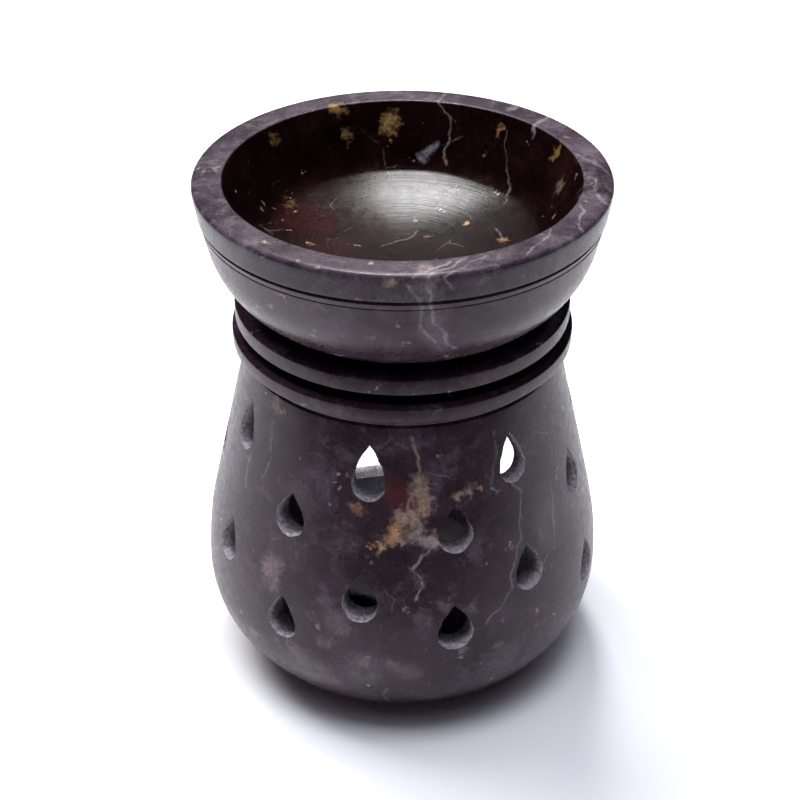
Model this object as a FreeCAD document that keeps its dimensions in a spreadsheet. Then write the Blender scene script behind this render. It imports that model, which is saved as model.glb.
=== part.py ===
import FreeCAD, Part
import math
import os
from collections import namedtuple

import Sketcher
from FreeCAD import Placement, Rotation, Vector

# Essential oil burner, turned and pierced from soapstone.
# The pot stands on a small flat foot, has a doorway at the back (+Y) for a tea light and
# carries a lift-off dish on its double-ringed collar.
# The origin is the centre of the face that it stands on, and +Z is up. Lengths are in
# millimetres and angles in degrees.

SIZES = {
    # Pot, outside: a round base, a bowed flank that runs out straight, and the neck above it
    "belly_radius": 41.8,
    "belly_height": 21.4,
    "foot_radius": 24.0,
    "flank_round": 70.0,
    "flank_lean": 13.0,
    "body_top": 72.5,
    # Fine line cut round the pot's top and round the dish
    "line_width": 0.8,
    "line_depth": 0.5,
    # Collar: two rings with a groove between them
    "neck_height": 1.9,
    "lower_ring_stand": 2.25,
    "lower_ring_taper": 0.1,
    "lower_ring_height": 3.0,
    "groove_height": 2.7,
    "groove_depth": 2.8,
    "upper_ring_set_back": 0.75,
    "upper_ring_height": 3.3,
    "ring_edge_round": 0.4,
    # Pot, inside
    "wall": 4.5,
    "wall_taper": 2.6,
    "floor_height": 10.0,
    "collar_wall": 7.3,
    "bore_depth": 13.7,
    "shoulder_drop": 6.5,
    # Doorway, cut with play for the tea light, its sill above the chamber's floor
    "door_side_play": 6.0,
    "door_side_height": 9.2,
    "sill_rise": 2.8,
    # Teardrops
    "row_a_length": 10.8,
    "row_a_width": 6.3,
    "row_b_length": 9.5,
    "row_b_width": 6.7,
    "row_c_length": 10.1,
    "row_c_width": 6.9,
    "row_d_length": 10.0,
    "row_d_width": 7.0,
    "tear_side_round": 16.0,
    "cut_overrun": 5.0,
    # Dish, outside
    "dish_height": 25.5,
    "rim_radius": 40.3,
    "rim_round": 0.8,
    "band_height": 5.9,
    "band_taper": 0.8,
    "side_set_in": 1.1,
    "side_lean": 12.0,
    "side_foot_height": 13.8,
    "seat_width": 2.7,
    # Dish, inside
    "rim_width": 5.9,
    "rim_inner_round": 0.5,
    "dish_floor_height": 9.0,
    "dish_floor_set_in": 7.9,
    "dish_floor_crown": 110.0,
    "dish_corner_round": 5.0,
    # Dish, underneath: the spigot that centres it in the collar's bore
    "spigot_height": 3.5,
    "spigot_clearance": 0.4,
    "spigot_chamfer": 0.6,
    "spigot_wall": 6.1,
    "dish_floor_thickness": 6.5,
    # Tea light
    "tealight_set_in": 7.0,
    "cup_radius": 19.0,
    "cup_height": 15.5,
    "cup_sheet": 0.4,
    "cup_lip": 0.7,
    "cup_foot_round": 1.2,
    "wax_depth": 12.0,
    "wax_dip": 0.6,
    "wax_clearance": 0.1,
    "tin_radius": 6.2,
    "tin_sheet": 0.3,
    "tin_neck_height": 4.0,
    "wick_radius": 0.8,
    "wick_stand": 5.0,
    "wick_tip_chamfer": 0.3,
}

# The teardrops are in four staggered rows: the first and third have a hole opposite the
# doorway, the second and fourth straddle it. They are marked out by hand, so each row is turned
# a degree or so off true. A row has the height of its drops' round centres as a share of the
# body's, its first hole in degrees from the front (-Y) towards +X, and its number of holes:
# those that would break into the doorway are left out.
HOLES_ROUND = 7
Row = namedtuple("Row", "name height_share first holes")
ROWS = (
    Row("row_a", 0.838, -155.5, 7),
    Row("row_b", 0.686, -127.5, 6),
    Row("row_c", 0.492, -103.6, 5),
    Row("row_d", 0.388, -127.6, 6),
)

document = FreeCAD.newDocument("oil_burner")
sheet = document.addObject("Spreadsheet::Sheet", "dim")
for line, (alias, size) in enumerate(SIZES.items(), start=1):
    sheet.set(f"A{line}", alias)
    sheet.set(f"B{line}", str(size))
    sheet.setAlias(f"B{line}", alias)
document.recompute()


def number(expression):
    """Value of an expression in the sheet's sizes, in millimetres or degrees."""
    value = sheet.evalExpression(expression)
    return float(getattr(value, "Value", value))


def new_body(name):
    """A body of its own for one piece."""
    body = document.addObject("PartDesign::Body", name)
    body.Label = name
    return body


def origin_feature(body, role):
    """One of the body's own origin planes or axes."""
    return next(feature for feature in body.Origin.OriginFeatures if feature.Role == role)


def new_sketch(body, name, turn=0.0):
    """An upright sketch through the axis, turned about it from the plane that faces -Y."""
    sketch = body.newObject("Sketcher::SketchObject", name)
    sketch.AttachmentSupport = [(origin_feature(body, "XZ_Plane"), "")]
    sketch.MapMode = "FlatFace"
    sketch.AttachmentOffset = Placement(Vector(), Rotation(Vector(0, 1, 0), turn))
    return sketch


def bind(sketch, name, constraint, expression):
    """Add a dimension to a sketch and bind it to the sheet."""
    index = sketch.addConstraint(constraint)
    sketch.renameConstraint(index, name)
    sketch.setExpression(f"Constraints.{name}", expression)


def hold(sketch, name, geometry, end, direction, expression):
    """Hold a point's X or Y at an expression, or on the sketch's axis where that is 0."""
    if expression == "0":
        axis = -2 if direction == "X" else -1
        sketch.addConstraint(Sketcher.Constraint("PointOnObject", geometry, end, axis))
        return
    value = number(expression)
    constraint = Sketcher.Constraint(f"Distance{direction}", -1, 1, geometry, end, value)
    bind(sketch, name, constraint, expression)


def arc_between(start, end, centre):
    """The arc of under half a turn from start to end round centre."""
    radius = (start - centre).Length
    towards = (start - centre) + (end - centre)
    return Part.Arc(start, centre + towards.normalize() * radius, end)


# Outlines are lists of corners, each with the curve that leads to it from the one before.
# Coordinates are expressions, X outwards from the axis and Y upwards. An arc is fixed by its
# two ends and by one coordinate of its centre, the one named as held.
Line = namedtuple("Line", "x y")
Arc = namedtuple("Arc", "x y centre_x centre_y held")


def add_step(sketch, step, start, end):
    """Draw one line or arc. Returns its number and the numbers of its first and last ends."""
    if isinstance(step, Line):
        curve = Part.LineSegment(start, end)
    else:
        curve = arc_between(start, end, Vector(number(step.centre_x), number(step.centre_y), 0))
    geometry = sketch.addGeometry(curve)
    to_start = [sketch.getPoint(geometry, side).distanceToPoint(start) for side in (1, 2)]
    return (geometry, 1, 2) if to_start[0] < to_start[1] else (geometry, 2, 1)


def draw_outline(sketch, steps):
    """Draw a closed outline whose first step comes from its last corner."""
    corners = [Vector(number(step.x), number(step.y), 0) for step in steps]
    drawn = []
    for index, step in enumerate(steps):
        drawn.append(add_step(sketch, step, corners[index - 1], corners[index]))
    for index, step in enumerate(steps):
        geometry, _, last = drawn[index]
        following, first, _ = drawn[(index + 1) % len(steps)]
        sketch.addConstraint(Sketcher.Constraint("Coincident", geometry, last, following, first))
        hold(sketch, f"corner{index}_x", geometry, last, "X", step.x)
        hold(sketch, f"corner{index}_y", geometry, last, "Y", step.y)
        if isinstance(step, Arc):
            expression = step.centre_x if step.held == "X" else step.centre_y
            hold(sketch, f"centre{index}", geometry, 3, step.held, expression)


def turn_body(body, steps):
    """Turn a closed outline into a solid of revolution, as on a lathe."""
    sketch = new_sketch(body, f"{body.Name}_outline")
    draw_outline(sketch, steps)
    revolution = body.newObject("PartDesign::Revolution", f"{body.Name}_turned")
    revolution.Profile = sketch
    revolution.ReferenceAxis = (sketch, ["V_Axis"])
    revolution.Angle = 360
    document.recompute()
    return revolution


def ring_edges(shape, radius, height):
    """Names of the full circles of one radius at one height on a turned solid."""
    nearness = 1e-4
    found = []
    for index, edge in enumerate(shape.Edges, start=1):
        if edge.Degenerated or not isinstance(edge.Curve, Part.Circle):
            continue
        curve = edge.Curve
        if abs(curve.Radius - radius) < nearness and abs(curve.Center.z - height) < nearness:
            found.append(f"Edge{index}")
    return found


def round_rings(body, turned, name, places, radius):
    """Round the circular edges at the given radius and height expressions."""
    edges = []
    for ring_radius, ring_height in places:
        edges += ring_edges(turned.Shape, number(ring_radius), number(ring_height))
    fillet = body.newObject("PartDesign::Fillet", name)
    fillet.Base = (turned, edges)
    fillet.setExpression("Radius", radius)
    document.recompute()


def cut_pocket(body, sketch, name, reverse):
    """Cut a sketch through one side of a body, from the axis outwards."""
    before = body.Shape.Volume
    pocket = body.newObject("PartDesign::Pocket", name)
    pocket.Profile = sketch
    pocket.Type = "Length"
    pocket.setExpression("Length", "dim.belly_radius + dim.cut_overrun")
    pocket.Reversed = reverse
    document.recompute()
    if body.Shape.Volume >= before:
        raise RuntimeError(f"{name} removes nothing")
    return pocket


# The pot's radii, heights and arc centres, from the foot up
BASE_ROUND = ("((dim.belly_radius - dim.foot_radius)^2 + dim.belly_height^2)"
              " / (2 * (dim.belly_radius - dim.foot_radius))")
BASE_CENTRE = f"dim.belly_radius - {BASE_ROUND}"
FLANK_CENTRE = "dim.belly_radius - dim.flank_round"
FLANK_X = f"{FLANK_CENTRE} + dim.flank_round * cos(dim.flank_lean)"
FLANK_Y = "dim.belly_height + dim.flank_round * sin(dim.flank_lean)"
NECK_RADIUS = f"{FLANK_X} - (dim.body_top - ({FLANK_Y})) * tan(dim.flank_lean)"
LOWER_RING_RADIUS = f"{NECK_RADIUS} + dim.lower_ring_stand"
LOWER_RING_BASE = "dim.body_top + dim.line_width + dim.neck_height"
LOWER_RING_TOP = f"{LOWER_RING_BASE} + dim.lower_ring_height"
UPPER_RING_RADIUS = f"{LOWER_RING_RADIUS} - dim.upper_ring_set_back"
UPPER_RING_BASE = f"{LOWER_RING_TOP} + dim.groove_height"
COLLAR_TOP = f"{UPPER_RING_BASE} + dim.upper_ring_height"

# The chamber follows the outside at the wall's thickness, and the wall thins towards the neck
BORE_RADIUS = f"{NECK_RADIUS} - dim.collar_wall"
BORE_FOOT = f"{COLLAR_TOP} - dim.bore_depth"
CHAMBER_RADIUS = "dim.belly_radius - dim.wall"
CHAMBER_LEAN = "(dim.flank_lean - dim.wall_taper)"
CHAMBER_CENTRE = f"{CHAMBER_RADIUS} - dim.flank_round"
CHAMBER_X = f"{CHAMBER_CENTRE} + dim.flank_round * cos({CHAMBER_LEAN})"
CHAMBER_Y = f"dim.belly_height + dim.flank_round * sin({CHAMBER_LEAN})"
CHAMBER_TOP = f"{BORE_FOOT} - dim.shoulder_drop"
CHAMBER_TOP_RADIUS = f"{CHAMBER_X} - ({CHAMBER_TOP} - ({CHAMBER_Y})) * tan({CHAMBER_LEAN})"
FLOOR_RADIUS = (f"{BASE_CENTRE} + sqrt(({BASE_ROUND} - dim.wall)^2"
                " - (dim.belly_height - dim.floor_height)^2)")


def make_pot():
    """The pot: belly, neck and double-ringed collar, hollowed, with doorway and teardrops."""
    body = new_body("base_pot")
    turned = turn_body(body, [
        Line("0", "0"),
        Line("dim.foot_radius", "0"),
        Arc("dim.belly_radius", "dim.belly_height", BASE_CENTRE, "dim.belly_height", "Y"),
        Arc(FLANK_X, FLANK_Y, FLANK_CENTRE, "dim.belly_height", "X"),
        Line(NECK_RADIUS, "dim.body_top"),
        Line(f"{NECK_RADIUS} - dim.line_depth", "dim.body_top + dim.line_width / 2"),
        Line(NECK_RADIUS, "dim.body_top + dim.line_width"),
        Line(NECK_RADIUS, LOWER_RING_BASE),
        Line(f"{LOWER_RING_RADIUS} - dim.lower_ring_taper", LOWER_RING_BASE),
        Line(LOWER_RING_RADIUS, LOWER_RING_TOP),
        Line(f"{UPPER_RING_RADIUS} - dim.groove_depth", f"{LOWER_RING_TOP} + dim.groove_height / 2"),
        Line(UPPER_RING_RADIUS, UPPER_RING_BASE),
        Line(UPPER_RING_RADIUS, COLLAR_TOP),
        Line(BORE_RADIUS, COLLAR_TOP),
        Line(BORE_RADIUS, BORE_FOOT),
        Line(CHAMBER_TOP_RADIUS, CHAMBER_TOP),
        Line(CHAMBER_X, CHAMBER_Y),
        Arc(CHAMBER_RADIUS, "dim.belly_height", CHAMBER_CENTRE, "dim.belly_height", "X"),
        Arc(FLOOR_RADIUS, "dim.floor_height", BASE_CENTRE, "dim.belly_height", "Y"),
        Line("0", "dim.floor_height"),
    ])
    round_rings(body, turned, "ring_edges", [
        (f"{LOWER_RING_RADIUS} - dim.lower_ring_taper", LOWER_RING_BASE),
        (LOWER_RING_RADIUS, LOWER_RING_TOP),
        (UPPER_RING_RADIUS, UPPER_RING_BASE),
        (UPPER_RING_RADIUS, COLLAR_TOP),
        (BORE_RADIUS, COLLAR_TOP),
    ], "dim.ring_edge_round")
    cut_doorway(body)
    for row in ROWS:
        cut_row(body, row)
    return body


def cut_doorway(body):
    """Cut the round-headed doorway through the back wall, down to the sill."""
    half_width = "(dim.cup_radius + dim.door_side_play)"
    sill = "dim.floor_height + dim.sill_rise"
    spring = f"{sill} + dim.door_side_height"
    sketch = new_sketch(body, "doorway_outline")
    draw_outline(sketch, [
        Line(f"-{half_width}", sill),
        Line(half_width, sill),
        Line(half_width, spring),
        Arc("0", f"{spring} + {half_width}", "0", spring, "X"),
        Arc(f"-{half_width}", spring, "0", spring, "Y"),
    ])
    cut_pocket(body, sketch, "doorway", reverse=False)


def draw_teardrop(sketch, row):
    """A drop with a round bottom and two bowed sides that meet in a point at the top."""
    height = f"{row.height_share} * dim.body_top"
    radius = number(f"dim.{row.name}_width / 2")
    rise = number(f"dim.{row.name}_length") - radius
    bow = number("dim.tear_side_round")
    centre = Vector(0, number(height), 0)
    tip = centre + Vector(0, rise, 0)
    bottom = centre - Vector(0, radius, 0)
    down = (2 * bow * radius - radius ** 2 - rise ** 2) / (2 * rise)
    across = math.sqrt((bow - radius) ** 2 - down ** 2)
    share_of_bow = radius / (bow - radius)
    right = centre + Vector(across, down, 0) * share_of_bow
    left = centre + Vector(-across, down, 0) * share_of_bow
    sketch.addGeometry([
        arc_between(bottom, right, centre),
        arc_between(right, tip, centre - Vector(across, down, 0)),
        arc_between(tip, left, centre - Vector(-across, down, 0)),
        arc_between(left, bottom, centre),
    ])
    right_round, right_side, left_side, left_round = range(4)
    sketch.addConstraint([
        Sketcher.Constraint("Tangent", right_round, 2, right_side, 1),
        Sketcher.Constraint("Coincident", right_side, 2, left_side, 1),
        Sketcher.Constraint("Tangent", left_side, 2, left_round, 1),
        Sketcher.Constraint("Coincident", left_round, 2, right_round, 1),
        Sketcher.Constraint("Coincident", left_round, 3, right_round, 3),
        Sketcher.Constraint("PointOnObject", right_round, 3, -2),
        Sketcher.Constraint("PointOnObject", right_round, 1, -2),
        Sketcher.Constraint("PointOnObject", right_side, 2, -2),
        Sketcher.Constraint("Equal", right_side, left_side),
    ])
    hold(sketch, "height", right_round, 3, "Y", height)
    width = Sketcher.Constraint("Radius", right_round, radius)
    bind(sketch, "half_width", width, f"dim.{row.name}_width / 2")
    length = Sketcher.Constraint("DistanceY", right_round, 1, right_side, 2, radius + rise)
    bind(sketch, "drop_length", length, f"dim.{row.name}_length")
    side = Sketcher.Constraint("Radius", right_side, bow)
    bind(sketch, "side_round", side, "dim.tear_side_round")


def cut_row(body, row):
    """Pierce one row of teardrops, evenly spaced round the pot."""
    sketch = new_sketch(body, f"{row.name}_outline", turn=row.first)
    draw_teardrop(sketch, row)
    pocket = cut_pocket(body, sketch, f"{row.name}_hole", reverse=True)
    before = body.Shape.Volume
    pattern = body.newObject("PartDesign::PolarPattern", f"{row.name}_pattern")
    pattern.Originals = [pocket]
    pattern.Axis = (origin_feature(body, "Z_Axis"), [""])
    pattern.Mode = "Spacing"
    pattern.Offset = 360 / HOLES_ROUND
    pattern.Occurrences = row.holes
    body.Tip = pattern
    document.recompute()
    if body.Shape.Volume >= before:
        raise RuntimeError(f"{row.name} has no further holes")


# The dish's own heights start at the collar's top, where it rests
LINE_HEIGHT = "dim.dish_height - dim.band_height"
SIDE_RADIUS = "dim.rim_radius - dim.side_set_in"
SIDE_FOOT_X = f"{SIDE_RADIUS} - ({LINE_HEIGHT} - dim.side_foot_height) * tan(dim.side_lean)"
SPIGOT_RADIUS = f"{BORE_RADIUS} - dim.spigot_clearance"
RECESS_RADIUS = f"{SPIGOT_RADIUS} - dim.spigot_wall"
RECESS_TOP = "dim.dish_floor_height - dim.dish_floor_thickness"
DISH_FOOT_RADIUS = f"{BORE_RADIUS} + dim.seat_width"

# The arc from the dish's foot that runs into its leaning side without a corner
UNDERSIDE_RUN = f"({SIDE_FOOT_X} - ({DISH_FOOT_RADIUS}))"
UNDERSIDE_ROUND = (f"({UNDERSIDE_RUN}^2 + dim.side_foot_height^2)"
                   f" / (2 * ({UNDERSIDE_RUN} * cos(dim.side_lean)"
                   " - dim.side_foot_height * sin(dim.side_lean)))")

# The dish's inside: a crowned floor, a round corner, and a wall that leans out to the rim
INNER_RADIUS = "(dim.rim_radius - dim.rim_width)"
DISH_FLOOR_RADIUS = f"({INNER_RADIUS} - dim.dish_floor_set_in)"
FLOOR_EDGE_Y = ("dim.dish_floor_height + dim.dish_floor_crown"
                f" - sqrt(dim.dish_floor_crown^2 - {DISH_FLOOR_RADIUS}^2)")
CORNER_X = f"{DISH_FLOOR_RADIUS} * (1 - dim.dish_corner_round / dim.dish_floor_crown)"
CORNER_Y = (f"({FLOOR_EDGE_Y} + dim.dish_corner_round"
            f" * sqrt(1 - ({DISH_FLOOR_RADIUS} / dim.dish_floor_crown)^2))")
WALL_RUN = f"({INNER_RADIUS} - {CORNER_X})"
WALL_RISE = f"(dim.dish_height - {CORNER_Y})"
WALL_ANGLE = (f"(atan2({WALL_RISE}; {WALL_RUN})"
              f" - acos(dim.dish_corner_round / sqrt({WALL_RUN}^2 + {WALL_RISE}^2)))")


def make_dish():
    """The lift-off dish: banded side, crowned floor and a spigot that drops into the collar."""
    body = new_body("oil_bowl")
    turned = turn_body(body, [
        Line("0", RECESS_TOP),
        Line(RECESS_RADIUS, RECESS_TOP),
        Line(RECESS_RADIUS, "-dim.spigot_height"),
        Line(f"{SPIGOT_RADIUS} - dim.spigot_chamfer", "-dim.spigot_height"),
        Line(SPIGOT_RADIUS, "dim.spigot_chamfer - dim.spigot_height"),
        Line(SPIGOT_RADIUS, "0"),
        Line(DISH_FOOT_RADIUS, "0"),
        Arc(SIDE_FOOT_X, "dim.side_foot_height",
            f"{SIDE_FOOT_X} - {UNDERSIDE_ROUND} * cos(dim.side_lean)",
            f"dim.side_foot_height + {UNDERSIDE_ROUND} * sin(dim.side_lean)", "X"),
        Line(SIDE_RADIUS, f"{LINE_HEIGHT} - dim.line_width / 2"),
        Line(f"{SIDE_RADIUS} - dim.line_depth", LINE_HEIGHT),
        Line("dim.rim_radius - dim.band_taper", f"{LINE_HEIGHT} + dim.line_width / 2"),
        Line("dim.rim_radius", "dim.dish_height - dim.rim_round"),
        Arc("dim.rim_radius - dim.rim_round", "dim.dish_height",
            "dim.rim_radius - dim.rim_round", "dim.dish_height - dim.rim_round", "X"),
        Line(INNER_RADIUS, "dim.dish_height"),
        Line(f"{CORNER_X} + dim.dish_corner_round * cos({WALL_ANGLE})",
             f"{CORNER_Y} + dim.dish_corner_round * sin({WALL_ANGLE})"),
        Arc(DISH_FLOOR_RADIUS, FLOOR_EDGE_Y, CORNER_X, CORNER_Y, "Y"),
        Arc("0", "dim.dish_floor_height", "0", "dim.dish_floor_height + dim.dish_floor_crown", "X"),
    ])
    rim_edge = [(INNER_RADIUS, "dim.dish_height")]
    round_rings(body, turned, "rim_edge", rim_edge, "dim.rim_inner_round")
    body.setExpression("Placement.Base.z", COLLAR_TOP)
    return body


# The tea light's own heights start at the underside of its cup
CUP_INNER = "dim.cup_radius - dim.cup_lip - dim.cup_sheet"
CUP_OUTER = "dim.cup_radius - dim.cup_lip"
CUP_ROUND_CENTRE = f"{CUP_OUTER} - dim.cup_foot_round"
TIN_TOP = "dim.cup_sheet + dim.tin_sheet + dim.tin_neck_height"
WICK_BORE = "dim.wick_radius + dim.wax_clearance"


def stand_in_chamber(body):
    """Stand a piece of the tea light on the chamber's floor, pushed in past its middle."""
    body.setExpression("Placement.Base.y", "-dim.tealight_set_in")
    body.setExpression("Placement.Base.z", "dim.floor_height")
    return body


def make_cup():
    """The drawn aluminium cup with its turned-out lip."""
    body = new_body("tealight_cup")
    turn_body(body, [
        Line("0", "0"),
        Line(CUP_ROUND_CENTRE, "0"),
        Arc(CUP_OUTER, "dim.cup_foot_round", CUP_ROUND_CENTRE, "dim.cup_foot_round", "X"),
        Line(CUP_OUTER, "dim.cup_height - dim.cup_sheet"),
        Line("dim.cup_radius", "dim.cup_height - dim.cup_sheet"),
        Line("dim.cup_radius", "dim.cup_height"),
        Line(CUP_INNER, "dim.cup_height"),
        Line(CUP_INNER, "dim.cup_foot_round"),
        Arc(CUP_ROUND_CENTRE, "dim.cup_sheet", CUP_ROUND_CENTRE, "dim.cup_foot_round", "X"),
        Line("0", "dim.cup_sheet"),
    ])
    return stand_in_chamber(body)


def make_wax():
    """The wax, cast round the sustainer and the wick, with a slightly dipped top."""
    body = new_body("tealight_wax")
    edge = f"{CUP_INNER} - dim.wax_clearance"
    foot_edge = f"{edge} - dim.cup_foot_round"
    top = "dim.cup_sheet + dim.wax_depth"
    tin_edge = "dim.tin_radius + dim.wax_clearance"
    neck_edge = f"{WICK_BORE} + dim.tin_sheet + dim.wax_clearance"
    above_tin = "dim.cup_sheet + dim.tin_sheet + dim.wax_clearance"
    above_neck = f"{TIN_TOP} + dim.wax_clearance"
    turn_body(body, [
        Line(tin_edge, "dim.cup_sheet"),
        Line(foot_edge, "dim.cup_sheet"),
        Line(edge, "dim.cup_sheet + dim.cup_foot_round"),
        Line(edge, top),
        Line(WICK_BORE, f"{top} - dim.wax_dip"),
        Line(WICK_BORE, above_neck),
        Line(neck_edge, above_neck),
        Line(neck_edge, above_tin),
        Line(tin_edge, above_tin),
    ])
    return stand_in_chamber(body)


def make_wick():
    """The braided wick, from the cup's floor to its free end above the wax."""
    body = new_body("tealight_wick")
    top = "dim.cup_sheet + dim.wax_depth + dim.wick_stand"
    turn_body(body, [
        Line("0", "dim.cup_sheet"),
        Line("dim.wick_radius", "dim.cup_sheet"),
        Line("dim.wick_radius", f"{top} - dim.wick_tip_chamfer"),
        Line("dim.wick_radius - dim.wick_tip_chamfer", top),
        Line("0", top),
    ])
    return stand_in_chamber(body)


def make_sustainer():
    """The stamped tin disc whose neck holds the wick upright."""
    body = new_body("wick_sustainer")
    turn_body(body, [
        Line(WICK_BORE, "dim.cup_sheet"),
        Line("dim.tin_radius", "dim.cup_sheet"),
        Line("dim.tin_radius", "dim.cup_sheet + dim.tin_sheet"),
        Line(f"{WICK_BORE} + dim.tin_sheet", "dim.cup_sheet + dim.tin_sheet"),
        Line(f"{WICK_BORE} + dim.tin_sheet", TIN_TOP),
        Line(WICK_BORE, TIN_TOP),
    ])
    return stand_in_chamber(body)


pieces = [make_pot(), make_dish(), make_cup(), make_wax(), make_wick(), make_sustainer()]
document.recompute()

for item in document.Objects:
    if "Invalid" in item.State or "Error" in item.State:
        raise RuntimeError(f"{item.Label} failed: {item.State}")
for piece in pieces:
    if piece.Shape.isNull() or not piece.Shape.isValid() or len(piece.Shape.Solids) != 1:
        raise RuntimeError(f"{piece.Label} is not one valid solid")

os.makedirs("parts", exist_ok=True)
for piece in pieces:
    piece.Shape.exportStep(f"parts/{piece.Label}.step")
    box = piece.Shape.optimalBoundingBox()
    print(f"{piece.Label}: {piece.Shape.Volume:.1f} mm3, {box.XLength:.2f} x {box.YLength:.2f},"
          f" z {box.ZMin:.2f} to {box.ZMax:.2f}")
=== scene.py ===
"""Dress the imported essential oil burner: a pot and a dish turned from veined soapstone, with a tea light.

Every size is in millimetres until it becomes a mesh or a lamp. Azimuths are in degrees, from the
front of the pot (-Y) towards +X.
"""
import logging
import math
from collections.abc import Callable, Iterable, Sequence
from dataclasses import dataclass, replace
from enum import Enum, IntEnum
from functools import partial

import bmesh
import bpy
from bmesh.types import BMesh, BMFace, BMVert
from bpy.types import Material, Node, NodeSocket, NodeTree, Object
from mathutils import Matrix, Vector, noise


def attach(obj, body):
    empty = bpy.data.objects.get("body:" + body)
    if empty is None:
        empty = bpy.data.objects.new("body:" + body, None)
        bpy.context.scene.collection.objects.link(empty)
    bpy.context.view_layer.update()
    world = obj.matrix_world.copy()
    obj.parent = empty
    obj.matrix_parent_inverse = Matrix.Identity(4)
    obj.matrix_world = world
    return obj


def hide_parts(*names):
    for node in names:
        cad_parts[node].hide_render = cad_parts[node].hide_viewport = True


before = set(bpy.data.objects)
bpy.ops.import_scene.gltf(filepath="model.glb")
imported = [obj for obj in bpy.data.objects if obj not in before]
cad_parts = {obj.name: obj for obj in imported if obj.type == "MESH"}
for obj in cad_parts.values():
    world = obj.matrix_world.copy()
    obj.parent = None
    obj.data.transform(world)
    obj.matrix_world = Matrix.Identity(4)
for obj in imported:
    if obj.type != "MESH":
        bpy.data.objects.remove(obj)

log = logging.getLogger("oil_burner")

MM = 0.001
UP = Vector((0, 0, 1))
Colour = tuple[float, float, float, float]
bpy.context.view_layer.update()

# Steps round the lathe axis, and the longest step along a turned outline
TURN_STEPS = 256
OUTLINE_STEP = 1.4
EASE_STEPS = 4
SHARP_ANGLE = 34

# Vertices nearer than this, in metres, are one
WELD = 1e-7

# How near an edge a face may lie and still belong to its own side of it
EDGE = 0.05

# How near a surface the middle of a face may lie and still be part of it
SNUG = 0.01

# Rounding of the stones' finest edges
FINE_ROUND = 0.15


def linear(code: str) -> Colour:
    """Turn an sRGB hex colour into the linear colour that shaders take.

    Args:
        code: six hex digits.

    Returns:
        Linear red, green and blue, and an alpha of 1.
    """
    def channel(share: float) -> float:
        """Linear value of one sRGB channel."""
        return share / 12.92 if share <= 0.04045 else ((share + 0.055) / 1.055) ** 2.4
    red, green, blue = (channel(int(code[i:i + 2], 16) / 255) for i in (0, 2, 4))
    return red, green, blue, 1.0


def place(azimuth: float, radius: float, height: float) -> Vector:
    """Point at an azimuth from the front, a radius from the axis and a height, in millimetres."""
    turn = math.radians(azimuth)
    return Vector((radius * math.sin(turn), -radius * math.cos(turn), height))


def fill(tree: NodeTree, node: Node, values: dict | Sequence) -> None:
    """Set a node's inputs.

    Args:
        tree: node tree that the node belongs to.
        node: the node.
        values: for each input, by its name or index or in a list from the first one on, a value, a
            socket, or a node whose first output feeds it.
    """
    for key, value in values.items() if isinstance(values, dict) else enumerate(values):
        if isinstance(value, Node):
            value = value.outputs[0]
        if isinstance(value, NodeSocket):
            tree.links.new(value, node.inputs[key])
        else:
            node.inputs[key].default_value = value


def add_node(tree: NodeTree, kind: str, inputs: dict | Sequence = (),
             settings: dict | str | None = None, stops: Sequence[tuple[float, Colour]] = ()) -> Node:
    """Add a node with its settings and its inputs.

    Args:
        tree: node tree that takes the node.
        kind: node type after the word ShaderNode, such as Math.
        inputs: values for its inputs, as in fill.
        settings: values for the node's own properties, or the name of its operation.
        stops: positions and colours of a colour ramp, in their order.

    Returns:
        The new node.
    """
    node = tree.nodes.new("ShaderNode" + kind)
    if isinstance(settings, str):
        settings = {"operation": settings}
    for name, value in (settings or {}).items():
        setattr(node, name, value)
    fill(tree, node, inputs)
    for position, _ in stops[1:-1]:
        node.color_ramp.elements.new(position)
    for number, (position, colour) in enumerate(stops):
        stop = node.color_ramp.elements[number]
        stop.position, stop.color = position, colour
    return node


@dataclass(frozen=True)
class Corner:
    """A point of a turned outline: radius and height, and the radius of its rounding if it has one."""

    radius: float
    height: float
    ease: float = 0.0


def arc(centre: tuple[float, float], radius: float, start: float, end: float,
        step: float = OUTLINE_STEP) -> list[Corner]:
    """Outline points along an arc.

    Args:
        centre: radius and height of the arc's centre.
        radius: radius of the arc.
        start: angle of its first point, in degrees above the horizontal.
        end: angle of its last point.
        step: longest step between points.

    Returns:
        The points, both ends included.
    """
    sweep = math.radians(end - start)
    steps = max(2, math.ceil(abs(sweep) * radius / step))
    angles = [math.radians(start) + sweep * i / steps for i in range(steps + 1)]
    return [Corner(centre[0] + radius * math.cos(a), centre[1] + radius * math.sin(a)) for a in angles]


def softened(corners: Sequence[Corner]) -> list[Vector]:
    """Round the corners that ask for it and divide the long straights.

    Args:
        corners: the outline from end to end.

    Returns:
        Points of the outline in the XZ plane, in millimetres.
    """
    points: list[Vector] = []
    flat = [Vector((c.radius, 0, c.height)) for c in corners]
    for i, corner in enumerate(corners):
        if not corner.ease or i in (0, len(corners) - 1):
            points.append(flat[i])
            continue
        back = (flat[i - 1] - flat[i]).normalized()
        ahead = (flat[i + 1] - flat[i]).normalized()
        half = back.angle(ahead) / 2
        middle = flat[i] + (back + ahead).normalized() * (corner.ease / math.sin(half))
        start = flat[i] + back * (corner.ease / math.tan(half)) - middle
        end = flat[i] + ahead * (corner.ease / math.tan(half)) - middle
        points += [middle + start.slerp(end, k / EASE_STEPS) * corner.ease for k in range(EASE_STEPS + 1)]
    divided = [points[0]]
    for a, b in zip(points, points[1:]):
        pieces = max(1, math.ceil((b - a).length / OUTLINE_STEP))
        divided += [a.lerp(b, k / pieces) for k in range(1, pieces + 1)]
    return divided


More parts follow.
